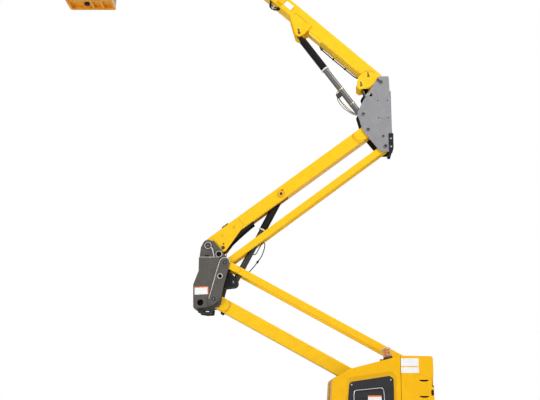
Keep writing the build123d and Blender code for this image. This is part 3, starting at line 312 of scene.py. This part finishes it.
class Trim:
    """Small fittings of one finish on one body, gathered into one mesh."""

    def __init__(self, name, body, material, slot):
        self.name, self.body, self.material, self.slot = name, body, material, slot
        self.mesh = bmesh.new()

    def skin(self, rings, closed=False):
        """Joins rings of points of one count into a skin, capped at its ends unless it closes on itself."""
        loops = [[self.mesh.verts.new(p) for p in ring] for ring in rings]
        count = len(loops[0])
        pairs = list(zip(loops, loops[1:])) + ([(loops[-1], loops[0])] if closed else [])
        for a, b in pairs:
            for i in range(count):
                k = (i + 1) % count
                self.mesh.faces.new((a[i], a[k], b[k], b[i]))
        if not closed:
            self.mesh.faces.new(loops[0][::-1])
            self.mesh.faces.new(loops[-1])

    def prism(self, place, outline, low, high, sides=BOTH):
        """Extrudes a side-view outline from low to high, with a small chamfer on the outer face."""
        x, z = (sum(p[i] for p in outline) / len(outline) for i in (0, 1))
        reach = max(math.dist(p, (x, z)) for p in outline)
        chamfer = min(1.5, (high - low) / 3)
        inset = 1 - chamfer / reach
        small = [(x + (a - x) * inset, z + (b - z) * inset) for a, b in outline]
        for side in sides:
            self.skin([
                [place.at(a, b, side * low) for a, b in outline],
                [place.at(a, b, side * (high - chamfer)) for a, b in outline],
                [place.at(a, b, side * high) for a, b in small],
            ])

    def turned(self, place, centre, profile, sides=BOTH, count=28):
        """Turns (radius, out) points about a cross-wise axis."""
        for side in sides:
            self.skin([
                [place.at(centre[0] + r * math.cos(t), centre[1] + r * math.sin(t), side * out)
                 for t in around(count)]
                for r, out in profile
            ])

    def hexes(self, place, centres, face, size=11, high=8, sides=BOTH):
        """Bolt heads with washers."""
        washer = [(size * 1.45, face), (size * 1.45, face + 2), (size * 1.1, face + 2)]
        head = [(size, face + 1), (size, face + high - 1.5), (size * 0.86, face + high)]
        for centre in centres:
            self.turned(place, centre, washer, sides, 20)
            self.turned(place, centre, head, sides, 6)

    def pin_head(self, place, centre, face, r, out=9, sides=BOTH):
        """Chamfered pin end with a grease nipple's recess."""
        rim, top = face + out - 3, face + out
        profile = [(r, face - 2), (r, rim), (r - 3, top), (r * 0.32, top), (r * 0.25, rim), (1, rim)]
        self.turned(place, centre, profile, sides)

    def tube(self, points, radius, ripple=0.0, step=0.03, count=10):
        """Sweeps a round section along a smooth line through the points. Ripple gives a weld its scales."""
        line = smooth_line(points, step)
        rings = []
        up = Vector((0, 1, 0))
        for i, p in enumerate(line):
            ahead = (line[min(i + 1, len(line) - 1)] - line[max(i - 1, 0)]).normalized()
            if abs(ahead.dot(up)) > 0.95:
                up = Vector((0, 0, 1))
            u = ahead.cross(up).normalized()
            v = ahead.cross(u)
            r = radius * (1 + ripple * math.sin(i * 1.7)) / 1000
            rings.append([p + u * (r * math.cos(t)) + v * (r * math.sin(t)) for t in around(count)])
        self.skin(rings)

    def band(self, place, start, end, inner, outer, count=32):
        """A hollow ring about the line along a cylinder."""
        self.skin([
            [place.at(along, r * math.cos(t), r * math.sin(t)) for t in around(count)]
            for along, r in ((start, inner), (start, outer), (end, outer), (end, inner))
        ], closed=True)

    def bead(self, place, points, face, radius=4.5, ripple=0.12, sides=BOTH, step=0.006):
        """Weld bead, or a line of painted highlight along an edge, through side-view points on an outer face.
        """
        for side in sides:
            self.tube([place.at(a, b, side * face) for a, b in points], radius, ripple, step, 8)

    def ring_bead(self, place, centre, face, r, thick=4.5, ripple=0.12):
        """Weld bead all round a boss, on both sides."""
        for side in BOTH:
            rings = []
            for i, t in enumerate(around(48)):
                size = thick * (1 + ripple * math.sin(i * 1.9))
                rings.append([
                    place.at(centre[0] + (r + size * math.cos(k)) * math.cos(t),
                             centre[1] + (r + size * math.cos(k)) * math.sin(t),
                             side * (face + size * math.sin(k)))
                    for k in around(8)
                ])
            self.skin(rings, closed=True)

    def made(self, sharp=38):
        """Makes the object. Edges that bend by more than the sharp angle stay crisp."""
        bmesh.ops.recalc_face_normals(self.mesh, faces=self.mesh.faces)
        data = bpy.data.meshes.new(self.name)
        self.mesh.to_mesh(data)
        self.mesh.free()
        for polygon in data.polygons:
            polygon.use_smooth = True
        if sharp:
            data.set_sharp_from_angle(angle=math.radians(sharp))
        data.materials.append(self.material)
        obj = bpy.data.objects.new(self.name, data)
        bpy.context.collection.objects.link(obj)
        return obj

    def done(self, sharp=38):
        """Makes the object and fixes it to its body."""
        obj = self.made(sharp)
        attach(obj, self.body)
        return obj


def plate(name, body, material, slot, place, outline, low, high, sides=BOTH):
    """One prism that is a piece by itself, such as a blank sign or a stop."""
    trim = Trim(name, body, material, slot)
    trim.prism(place, outline, low, high, sides)
    trim.done()


def bundle(name, routes, radius):
    """Hoses side by side across the joint between two bodies, fixed to neither."""
    hoses = Trim(name, None, RUBBER_AND_SHADE, "bellows")
    for route in routes:
        hoses.tube(route, radius)
    obj = hoses.made(sharp=None)
    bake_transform(obj)


# ---------------------------------------------------------------- trim: middle knuckle
LOWER_PIN, UPPER_PIN, LINK_PIN = (0, 0), (108, 766), (-142, 511)  # of the riser beams and the link bars
KNUCKLE_PINS = ((UPPER_PIN, 160), (LINK_PIN, 243), (LOWER_PIN, 243))  # with the face that each stands on
TOP_HOLE, MIDDLE_HOLE, FOOT_HOLE = (-50, 640), (-81, 318), (185, -44)

# Weld beads along the near bar's edge and round the holes, drawn light as painted highlight.
lit_beads = Trim("knuckle_welds_painted_highlight", "mid_knuckle", KNUCKLE_HIGHLIGHT, "knuckle_grey")
lit_beads.bead(KNUCKLE, [(66, 8), (34, 130), (1, 262), (-34, 400), (-66, 510), (-78, 545), (-104, 570),
                    (-142, 578), (-180, 570), (-204, 546), (-210, 510)], 235, 5)
lit_beads.bead(KNUCKLE, [(60, 735), (40, 700), (17, 597)], 161, 8)
lit_beads.bead(KNUCKLE, [(215, 589), (-58, 589)], 215, 3, 0.0)
lit_beads.ring_bead(KNUCKLE, MIDDLE_HOLE, 241, 33, 5)
lit_beads.ring_bead(KNUCKLE, TOP_HOLE, 166, 43, 4)
lit_beads.ring_bead(KNUCKLE, UPPER_PIN, 156, 46, 4)
lit_beads.done()
dull = Trim("knuckle_ring_welds", "mid_knuckle", SEAM_GREY, "knuckle_grey")
for spot in (LINK_PIN, LOWER_PIN):
    dull.ring_bead(KNUCKLE, spot, 240, 44, 4)
dull.done()
nipples = Trim("knuckle_nipples", "mid_knuckle", ZINC_AND_HIGHLIGHT, "rod_chrome")
nipples.hexes(KNUCKLE, [(-255, 258)], 88, 10, 9)
for spot, face in KNUCKLE_PINS:
    nipples.hexes(KNUCKLE, [spot], face + 3, 4, 5)
nipples.done()

pins = Trim("knuckle_pins", "mid_knuckle", PINS, "rod_chrome")
for spot, face in KNUCKLE_PINS:
    pins.pin_head(KNUCKLE, spot, face, 30, 7)
pins.pin_head(KNUCKLE, (-259, 245), 84, 26, 6)
pins.hexes(KNUCKLE, [(150, 735), (150, 797), (-188, 548), (-100, 470), (45, -30)], 150, 8, 8)
for side in BOTH:
    pins.tube([KNUCKLE.at(-150, 585, side * 180), KNUCKLE.at(-163, 632, side * 180)], 6)
pins.done()

# Black discs at the bottom of the holes and a black strip in the slot: painted shade.
hole_shading = Trim("knuckle_hole_painted_shade", "mid_knuckle", RUBBER_AND_SHADE, "bellows")
for spot, r in ((TOP_HOLE, 36), (FOOT_HOLE, 46), (MIDDLE_HOLE, 26)):
    hole_shading.turned(KNUCKLE, spot, [(r, 132), (r, 137), (r - 5, 140), (1, 140)])
hole_shading.prism(KNUCKLE, [(90, 602), (150, 602), (150, 628), (90, 628)], 148, 151)
hole_shading.done()

SIGN_FACE = 215  # outer face of the knuckle's sheet
plate("knuckle_decal", "mid_knuckle", WHITE, None, KNUCKLE,
      [(266, 62), (270, 160), (92, 168), (86, 70)], SIGN_FACE, SIGN_FACE + 1)
plate("knuckle_decal_edge", "mid_knuckle", SIGNAL, None, KNUCKLE,
      [(272, 156), (273, 171), (80, 179), (73, 66), (86, 66), (92, 164)], SIGN_FACE, SIGN_FACE + 1.4)

# ---------------------------------------------------------------- trim: upper riser
RISER_FACE = 120  # outer face of the plates at the riser beams' ends
pins = Trim("upper_riser_pins", "upper_riser", PINS, "rod_chrome")
pins.pin_head(UPPER, (2726, -147), RISER_FACE + 4, 24, 7)
pins.pin_head(UPPER, RISER_EYE, RISER_FACE + 4, 22, 7)
pins.hexes(UPPER, [(1556, 24), (2690, -108)], RISER_FACE, 8, 8)
pins.done()
seams = Trim("upper_riser_welds", "upper_riser", WELD_AND_SHADE_YELLOW, "arm_yellow")
seams.ring_bead(UPPER, RISER_EYE, RISER_FACE + 1, 47, 4)
for along in (2636, 2430):
    seams.ring_bead(UPPER, (along, 0), RISER_FACE, 17, 2)
seams.bead(UPPER, [(210, 84), (236, 60), (246, 0), (236, -60), (210, -84)], RISER_FACE + 0.5, 3)
seams.bead(UPPER, [(2300, 60), (2310, 0), (2290, -60)], RISER_FACE + 0.5, 2.5)
seams.done()
guide = Trim("hose_guides", "upper_riser", RUBBER_AND_SHADE, "bellows")
guide.prism(UPPER, [(2451, 93), (2579, 93), (2570, 122), (2462, 122)], -40, 40, (1,))
guide.prism(UPPER, [(2160, -92), (2216, -92), (2210, -124), (2166, -124)], 60, 108)
guide.done()

# ---------------------------------------------------------------- trim: lower riser and links
seams = Trim("lower_riser_welds", "lower_riser", WELD_AND_SHADE_YELLOW, "arm_yellow")
seams.bead(LOWER, [(-190, 84), (-222, 60), (-234, 0), (-222, -60), (-190, -84)], RISER_FACE + 0.5, 3)
seams.done()
plate("lower_riser_stop", "lower_riser", RUBBER_AND_SHADE, "bellows", LOWER,
      [(-150, -92), (-205, -92), (-192, -122), (-160, -122)], -60, 60, (1,))
seams = Trim("link_welds", "lower_link", WELD_AND_SHADE_YELLOW, "arm_yellow")
seams.bead(LOWER_LINK, [(-196, 44), (-236, 30), (-246, 0), (-236, -30), (-196, -44)], 210.5, 2.5)
seams.done()

# ---------------------------------------------------------------- trim: upper knuckle
HEAD_FACE = 138  # outer face of the upper knuckle's plates
plate("head_stop_bar", "upper_knuckle", RUBBER_AND_SHADE, "bellows", HEAD,
      [(-300, -62), (-367, -62), (-365, -290), (-342, -368), (-300, -368)], HEAD_FACE, HEAD_FACE + 12)
bolts = Trim("head_bolts", "upper_knuckle", ZINC_AND_HIGHLIGHT, "rod_chrome")
bolts.hexes(HEAD, [(-330, -143), (-330, -267)], HEAD_FACE + 12, 9, 8)
bolts.prism(HEAD, [(-180, 833), (-326, 833), (-326, 839), (-180, 839)], 118, HEAD_FACE + 1)
bolts.done()
pins = Trim("head_pins", "upper_knuckle", PINS, "rod_chrome")
for spot, r in (((-206, 745), 24), ((66, 241), 21), ((0, 0), 22), ((-250, -255), 24)):
    pins.pin_head(HEAD, spot, HEAD_FACE + 8, r, 6)
pins.pin_head(HEAD, (-220, -103), HEAD_FACE + 6, 17, 5)
pins.prism(HEAD, [(-160, 800), (-142, 782), (-190, 734), (-208, 752)], HEAD_FACE + 10, HEAD_FACE + 16)
pins.hexes(HEAD, [(-155, 792)], HEAD_FACE + 15, 7, 6)
pins.done()
seams = Trim("head_seams", "upper_knuckle", SEAM_GREY, "head_grey")
seams.bead(HEAD, [(-178, 172), (-286, 172)], HEAD_FACE, 2, 0.0)
seams.done()

# ---------------------------------------------------------------- trim: main boom
BRACKET_FACE = 122  # outer face of the boom's brackets
BOOM_FACE = 112  # outer face of the boom's box
# Each pin with its keeper's bolt, the face it starts from and its reach. The two rear pins turn just inside
# the upper knuckle's plates, so they stay low.
REAR_KEEPERS, LIFT_KEEPER = ((252, -6), (232, -190)), (1500, -180)
BOOM_PINS = (
    ((204, -48), REAR_KEEPERS[0], 120, 4.4),
    ((184, -231), REAR_KEEPERS[1], 120, 4.4),
    (LIFT_EYE, LIFT_KEEPER, 124, 6),
)
pins = Trim("boom_pins", "main_boom", PINS, "rod_chrome")
for spot, keeper, face, out in BOOM_PINS:
    pins.pin_head(BOOM, spot, face, 21, out)
    pins.prism(BOOM, strap(spot, keeper, 9), face - 1, face + out)
pins.done()
bolts = Trim("boom_keeper_bolts", "main_boom", ZINC_AND_HIGHLIGHT, "rod_chrome")
bolts.hexes(BOOM, REAR_KEEPERS, 121, 8, 3.4)
bolts.hexes(BOOM, [LIFT_KEEPER], 128, 8, 7)
bolts.done()
seams = Trim("boom_welds", "main_boom", WELD_AND_SHADE_YELLOW, "arm_yellow")
seams.bead(BOOM, [(304, -148), (313, -90), (291, -27), (232, 38), (176, 54)], BRACKET_FACE, 4)
# The slot weld in the boom's cheek: darker yellow as painted shade in the slot.
seams.bead(BOOM, [(1449, -19), (1560, -17), (1672, -15), (1700, -18), (1708, -34), (1690, -46)],
           BRACKET_FACE, 4.5)
seams.bead(BOOM, [(1381, -3), (1376, -66), (1371, -122)], BRACKET_FACE, 4)
seams.bead(BOOM, [(2853, 100), (2853, -100)], BRACKET_FACE, 3)
seams.done()
# Painted highlight: a bright line along the bracket's bottom edge.
lit_edge = Trim("boom_edge_highlights", "main_boom", HIGHLIGHT_YELLOW, "arm_yellow")
lit_edge.bead(BOOM, [(225, -292), (160, -262), (118, -238), (56, -160)], BRACKET_FACE - 1, 4, 0.0)
lit_edge.done()
plate("boom_decal", "main_boom", WHITE, None, BOOM, round_rect(1800, 1948, -30, 50, 6),
      BOOM_FACE, BOOM_FACE + 1)
plate("boom_decal_edge", "main_boom", SIGNAL, None, BOOM, round_rect(1786, 1799, -34, 50, 3),
      BOOM_FACE, BOOM_FACE + 1.2)

HOSE_LOOPS = ((88, 150), (60, 176), (30, 160))  # out and drop of each hose that loops below the boom
hose = Trim("boom_hoses", "main_boom", RUBBER_AND_SHADE, "bellows")
hose.tube([BOOM.at(1120, -100, -70), BOOM.at(1090, -122, -86), BOOM.at(900, -126, -96),
           BOOM.at(600, -124, -96), BOOM.at(380, -122, -90), BOOM.at(340, -100, -80)], 9)
for along in (1060, 820, 580):
    hose.prism(BOOM, [(along, -104), (along + 24, -104), (along + 20, -138), (along + 4, -138)],
               84, 108, (-1,))
for out, drop in HOSE_LOOPS:
    hose.tube([BOOM.at(1960, -104, out), BOOM.at(2010, -drop, out), BOOM.at(2090, -drop - 6, out),
               BOOM.at(2150, -104, out)], 10)
hose.done()
# The wear strip takes the painted highlight's bright yellow.
plate("boom_wear_strip", "main_boom", HIGHLIGHT_YELLOW, "arm_yellow", BOOM,
      [(1098, -105), (1344, -105), (1338, -128), (1104, -128)], 64, 104, (1,))
clips = Trim("boom_hose_clips", "main_boom", CREAM, None)
for out, drop in HOSE_LOOPS:
    clips.tube([BOOM.at(2030, -drop - 2, out), BOOM.at(2046, -drop - 4, out)], 14)
clips.done()

# ---------------------------------------------------------------- trim: cylinders
# The clamps at the bellows' lower ends ride on the rods and are open round the barrels.
for name, body, place, start, end, inner, outer in (
    ("lift_clamp", "lift_rod", LIFT, 932, 954, 50, 61),
    ("lift_foot_band", "lift_barrel", LIFT, 60, 72, 44, 50),
    ("riser_clamp", "riser_rod", RISER, 857, 877, 49, 59),
):
    ring = Trim(name, body, CREAM, None)
    ring.band(place, start, end, inner, outer)
    ring.done()
collar = Trim("lift_rod_boot", "lift_rod", RUBBER_AND_SHADE, "bellows")
length = (BOOM.at(*LIFT_EYE) - LIFT.origin).length * 1000
collar.tube([LIFT.at(length - 96, 0), LIFT.at(length - 44, 0)], 38, count=24)
collar.done()
plate("lift_valve", "lift_barrel", PINS, "barrel_grey", LIFT, round_rect(452, 520, -112, -50, 6),
      -26, 26, (1,))
# What is fixed to a barrel ends below the bellows' travel, or stands clear of it.
lines = Trim("lift_lines", "lift_barrel", BRASS, None)
lines.tube([LIFT.at(505, -96, 12), LIFT.at(528, -88, 12), LIFT.at(544, -68, 8), LIFT.at(550, -42, 4)], 7)
lines.tube([LIFT.at(462, -98, -12), LIFT.at(330, -96, -12), LIFT.at(190, -78, -10), LIFT.at(120, -56, -4),
            LIFT.at(108, -42, 0)], 7)
for along in (534, 250):
    lines.band(LIFT, along, along + 14, 44, 49)
lines.done()
black = Trim("lift_hoses", "lift_barrel", RUBBER_AND_SHADE, "bellows")
for out, drop in ((22, 118), (-20, 136)):
    black.tube([LIFT.at(500, -100, out), LIFT.at(430, -drop, out), LIFT.at(300, -drop - 2, out),
                LIFT.at(180, -104, out), LIFT.at(100, -66, out), LIFT.at(78, -40, out)], 5)
black.done()
black = Trim("riser_hose", "riser_barrel", RUBBER_AND_SHADE, "bellows")
black.tube([RISER.at(490, 42), RISER.at(500, 64), RISER.at(530, 76), RISER.at(640, 79), RISER.at(700, 86),
            RISER.at(712, 104), RISER.at(690, 128), RISER.at(622, 150), RISER.at(520, 162),
            RISER.at(424, 150), RISER.at(320, 132), RISER.at(224, 104), RISER.at(160, 74),
            RISER.at(140, 42)], 7)
black.tube([RISER.at(424, 138), RISER.at(424, 164)], 20, count=20)
black.done()

# ---------------------------------------------------------------- trim: body
BOX_FACE = 850  # outer face of the rear boxes
PANEL_FACE = 824  # outer face of the hoods' side panels, inside their rims
plate("box_decals", "turntable", WHITE, None, BODY, round_rect(-752, -526, 1446, 1628, 8),
      BOX_FACE, BOX_FACE + 1)
plate("box_decal_stripes", "turntable", SIGNAL_YELLOW, None, BODY, round_rect(-750, -528, 1518, 1532, 3),
      BOX_FACE + 0.5, BOX_FACE + 1.5)
latch = Trim("box_latches", "turntable", RUBBER_AND_SHADE, "console_plastic")
latch.prism(BODY, round_rect(-936, -908, 1112, 1290, 8), BOX_FACE - 44, BOX_FACE - 2)
latch.prism(BODY, round_rect(-930, -900, 1170, 1236, 8), BOX_FACE - 30, BOX_FACE + 6)
latch.done()
for side, tag in ((1, "left"), (-1, "right")):
    body = "hood_" + tag
    plate("panel_decal_" + tag, body, WHITE, None, BODY, round_rect(-272, -100, 1052, 1158, 6),
          PANEL_FACE, PANEL_FACE + 1, (side,))
    plate("panel_decal_band_" + tag, body, SIGNAL, None, BODY, round_rect(-272, -100, 1150, 1168, 3),
          PANEL_FACE, PANEL_FACE + 1.4, (side,))
    edge = Trim("panel_edge_" + tag, body, ZINC_AND_HIGHLIGHT, "panel_dark")
    # The bright bead along the panel's raised frame is a painted highlight; the bolts are zinc.
    edge.bead(BODY, [(79, 985), (78, 1090), (76, 1190), (68, 1217), (44, 1231), (-100, 1245), (-252, 1260),
                     (-280, 1256), (-296, 1238), (-303, 1200), (-309, 1100), (-315, 985)],
              PANEL_FACE + 10, 5, 0.0, (side,))
    edge.hexes(BODY, [(120, 920), (105, 1300), (-395, 1360), (-410, 920)], PANEL_FACE, 7, 6, (side,))
    edge.done()

# ---------------------------------------------------------------- hoses that cross a joint
# The hoses at the middle knuckle keep near the riser's pin, clear of the link bars when the riser rises.
bundle("riser_joint_hoses", [
    [UPPER.at(2810, -144 - row * 13, side * out), UPPER.at(2700, -138 - row * 13, side * out),
     UPPER.at(2560, -118 - row * 12, side * out), UPPER.at(2400, -104 - row * 10, side * out),
     UPPER.at(2190, -98 - row * 6, side * out)]
    for side in BOTH for row, out in ((0, 92), (1, 74), (2, 92), (3, 74))
], 12)
bundle("boom_joint_hoses", [
    [HEAD.at(-100 + row * 22, 330, out), HEAD.at(-58 + row * 23, 420, out), HEAD.at(2 + row * 25, 520, out),
     BOOM.at(150 - row * 22, -215, out), BOOM.at(190 - row * 26, -150, out)]
    for row, out in ((-1, -66), (0, -90), (1, -66), (2, -90), (3, -66))
], 12)

# ---------------------------------------------------------------- wheels
PITCHES = 22  # tread bars on each half of a tyre
TREAD_DEPTH = 21
# Shares of a pitch. The first half of them have a bar on one half of the tyre, the others on the other half.
BAR_STEPS = (0.03, 0.25, 0.46, 0.53, 0.75, 0.96)
# From the middle of the tread to the bead: distance from the middle, radius, and the groove's share of depth.
HALF_SECTION = [(10, 344.8, 0), (14, 344.8, 1), (40, 344.8, 1), (70, 344.8, 1), (98, 344, 1), (110, 337, 1),
                (118, 326, 0.5), (122, 318, 0), (124.5, 304, 0), (123.5, 284, 0), (121, 262, 0),
                (117, 250, 0), (106, 240, 0), (104, 222, 0)]
SECTION = [(-y, r, grooved) for y, r, grooved in reversed(HALF_SECTION)] + HALF_SECTION


def treaded_tyre(tag, side):
    """Tyre with a bar tread: bars on the two halves alternate, and lean with the distance from the middle."""
    centre = PIN["wheel_" + tag + "_spin"]
    tyre = Trim("treaded_tyre_" + tag, "wheel_" + tag, TYRE, "tyre")
    rings = []
    for pitch in range(PITCHES):
        for number, step in enumerate(BAR_STEPS):
            high = number < len(BAR_STEPS) // 2
            ring = []
            for y, r, grooved in SECTION:
                lean = 0.55 * abs(y) / 110 if abs(y) > 12 else 0.06
                turn = (pitch + step + lean) * math.tau / PITCHES
                bar = high if y > 0 else not high
                radius = r - (0 if bar else TREAD_DEPTH * grooved)
                ring.append((centre.x + radius * math.cos(turn) / 1000, centre.y + side * y / 1000,
                             centre.z + radius * math.sin(turn) / 1000))
            rings.append(ring)
    tyre.skin(rings, closed=True)
    obj = tyre.done(sharp=30)
    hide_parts("tyre_" + tag)


def wheel_nuts(tag, side):
    """Wheel nuts, the hub's cover bolts and the valve."""
    centre = PIN["wheel_" + tag + "_spin"]
    hub = Side(centre)
    face = abs(centre.y) * 1000
    nuts = Trim("wheel_nuts_" + tag, "wheel_" + tag, ZINC_AND_HIGHLIGHT, "rod_chrome")
    for radius, angles, out, size, high in ((128, [22.5 + 45 * n for n in range(8)], 33, 16, 20),
                                            (50, range(0, 360, 60), 99, 6, 6)):
        spots = [(radius * math.cos(math.radians(a)), radius * math.sin(math.radians(a))) for a in angles]
        nuts.hexes(hub, spots, face + out, size, high, (side,))
    nuts.tube([hub.at(182, 20, side * (face + 40)), hub.at(178, 26, side * (face + 74))], 5)
    nuts.done()


for tag, side in (("front_left", 1), ("front_right", -1), ("rear_left", 1), ("rear_right", -1)):
    treaded_tyre(tag, side)
    wheel_nuts(tag, side)

# ---------------------------------------------------------------- trim: turntable
SLEW_BOLTS, SLEW_CIRCLE = 24, 340
ring = Trim("slew_ring_bolts", "turntable", PINS, "rod_chrome")
for n in range(SLEW_BOLTS):
    t = math.radians((n + 0.5) * 360 / SLEW_BOLTS)
    x, y = SLEW_CIRCLE * math.cos(t), SLEW_CIRCLE * math.sin(t)
    post = [(SLEW_X * 1000 + x + 9 * math.cos(k), y + 9 * math.sin(k)) for k in around(6)]
    if abs(y) > 120 and abs(x) < 300:  # only the bolts at the two sides
        ring.skin([[Vector((px / 1000, py / 1000, z)) for px, py in post] for z in (0.744, 0.752)])
ring.done()
# Black blocks behind the vent slots: painted shade inside the box.
vent_shading = Trim("vent_painted_shade", "turntable", RUBBER_AND_SHADE, "console_plastic")
for sill in (1144, 1341):
    vent_shading.prism(BODY, [(-852, sill), (-734, sill), (-734, sill + 20), (-852, sill + 20)], 800, 822)
vent_shading.done()

# ---------------------------------------------------------------- trim: beacon guard
lens_low, lens_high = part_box("beacon_lens")
middle = (Vector(lens_low) + Vector(lens_high)) / 2
tilt = math.radians(14)
up = Vector((math.sin(tilt), 0, math.cos(tilt)))
left = Vector((0, 1, 0))
front = left.cross(up)
guard = Trim("beacon_guard", "hood_left", ZINC_AND_HIGHLIGHT, "rod_chrome")


def round_beacon(height, radius, turn):
    """A point about the beacon's tilted axis."""
    return middle + up * height + (front * math.cos(turn) + left * math.sin(turn)) * radius


for t in around(8):
    guard.tube([round_beacon(-0.062, 0.058, t), round_beacon(0, 0.060, t), round_beacon(0.048, 0.058, t),
                round_beacon(0.066, 0.036, t), round_beacon(0.070, 0.004, t)], 2.2, count=6)
for height in (-0.03, 0.012, 0.046):
    rings = [[round_beacon(height + 0.0022 * math.sin(k), 0.061 + 0.0022 * math.cos(k), t) for k in around(6)]
             for t in around(36)]
    guard.skin(rings, closed=True)
guard.done()

# ---------------------------------------------------------------- trim: platform
console_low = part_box("control_console")[0]
controls = Trim("console_controls", "platform", RUBBER_AND_SHADE, "console_plastic")
labels = Trim("console_plates", "platform", ZINC_AND_HIGHLIGHT, "platform_paint")
stop = Trim("console_stop_button", "platform", SIGNAL_RED, None)
slope = Vector((-0.13, 0, 0.1)).normalized()
normal = Vector((0.1, 0, 0.13)).normalized()
foot = Vector((console_low[0] + 0.19, 0, console_low[2] + 0.06))


def on_desk(up_slope, out, height=0.0):
    """A point on the console's sloping face."""
    return foot + slope * up_slope + normal * height + Vector((0, out, 0))


def knob(trim, up_slope, out, profile, count=20):
    """Turns (radius, height) points about an axis square to the console's face."""
    trim.skin([[on_desk(up_slope + r * math.cos(t), out + r * math.sin(t), h) for t in around(count)]
               for r, h in profile])


for out in (-0.17, 0.17):  # joysticks
    knob(controls, 0.03, out, [(0.03, -0.002), (0.03, 0.004), (0.022, 0.01), (0.012, 0.024), (0.009, 0.048),
                               (0.016, 0.056), (0.018, 0.082), (0.01, 0.092), (0.002, 0.093)])
for n in range(5):  # toggles
    knob(controls, 0.045, -0.09 + n * 0.045, [(0.008, -0.001), (0.008, 0.004), (0.003, 0.005),
                                              (0.0035, 0.022), (0.001, 0.024)], 12)
knob(stop, 0.1, 0.0, [(0.012, -0.001), (0.012, 0.014), (0.022, 0.016), (0.022, 0.026), (0.014, 0.032),
                      (0.002, 0.033)])
for out in (-0.12, 0.12):
    corners = [(0.02, out - 0.035), (0.02, out + 0.035), (0.13, out + 0.035), (0.13, out - 0.035)]
    labels.skin([[on_desk(a, b, h) for a, b in corners] for h in (-0.001, 0.0015)])
controls.done()
labels.done()
stop.done()
under = Trim("deck_underside_fittings", "platform", RUBBER_AND_SHADE, "console_plastic")
deck_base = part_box("platform_deck")[0][2]
for x, y in ((2.667, -0.742), (2.667, 0.742)):
    under.skin([[Vector((x + r * math.cos(t), y + r * math.sin(t), deck_base + z)) for t in around(24)]
                for r, z in ((0.045, 0.03), (0.045, 0.004), (0.03, 0.001))])
block = [(2.42, -0.59), (2.56, -0.55), (2.56, -0.45), (2.42, -0.41)]
under.skin([[Vector((a, b, z)) for a, b in block] for z in (deck_base + 0.03, deck_base + 0.004)])
under.done()

# ---------------------------------------------------------------- stage
FLOOR_SIZE = 60
SKY_STRENGTH = 0.47
bpy.ops.mesh.primitive_plane_add(size=FLOOR_SIZE, location=(0, 0, 0))
floor = bpy.context.object
floor.name = "stage_floor"
floor.data.materials.append(surface("stage_pale", (0.86, 0.86, 0.85), 0.6, vary=0.01, bump=0.02))

world = bpy.data.worlds.new("sky")
bpy.context.scene.world = world
world.use_nodes = True
tree = world.node_tree
sky = tree.nodes["Background"]
sky.inputs["Color"].default_value = (0.9, 0.93, 1.0, 1.0)
sky.inputs["Strength"].default_value = SKY_STRENGTH
white = tree.nodes.new("ShaderNodeBackground")
white.inputs["Color"].default_value = (1, 1, 1, 1)
white.inputs["Strength"].default_value = 1.0
rays = tree.nodes.new("ShaderNodeLightPath")
pick = tree.nodes.new("ShaderNodeMixShader")
link(tree, rays.outputs["Is Camera Ray"], pick.inputs[0])
link(tree, sky.outputs[0], pick.inputs[1])
link(tree, white.outputs[0], pick.inputs[2])
link(tree, pick.outputs[0], tree.nodes["World Output"].inputs["Surface"])


def lamp(name, at, target, size, power, colour=(1, 1, 1)):
    """A soft round lamp that faces its target."""
    data = bpy.data.lights.new(name, "AREA")
    data.shape = "DISK"
    data.size = size
    data.energy = power
    data.color = colour
    obj = bpy.data.objects.new(name, data)
    bpy.context.collection.objects.link(obj)
    obj.location = at
    obj.rotation_euler = (Vector(target) - Vector(at)).to_track_quat("-Z", "Y").to_euler()


lamp("key", (-9, 9, 15), (-1.5, 0, 4), 5, 1600, (1.0, 0.98, 0.95))
lamp("fill", (9, 12, 6), (-1, 0, 4), 8, 690)
lamp("back", (-6, -12, 10), (-1, 0, 4), 8, 690)

scene = bpy.context.scene
scene.view_settings.view_transform = "Standard"
view = bpy.data.cameras.new("photo_view")
view.lens = 52.0
view.shift_x = -0.0556
camera = bpy.data.objects.new("photo_view", view)
scene.collection.objects.link(camera)
camera.location = (SLEW_X + 0.76, 11.0, 1.18)
camera.rotation_euler = (math.radians(104), 0, math.radians(180))
scene.camera = camera
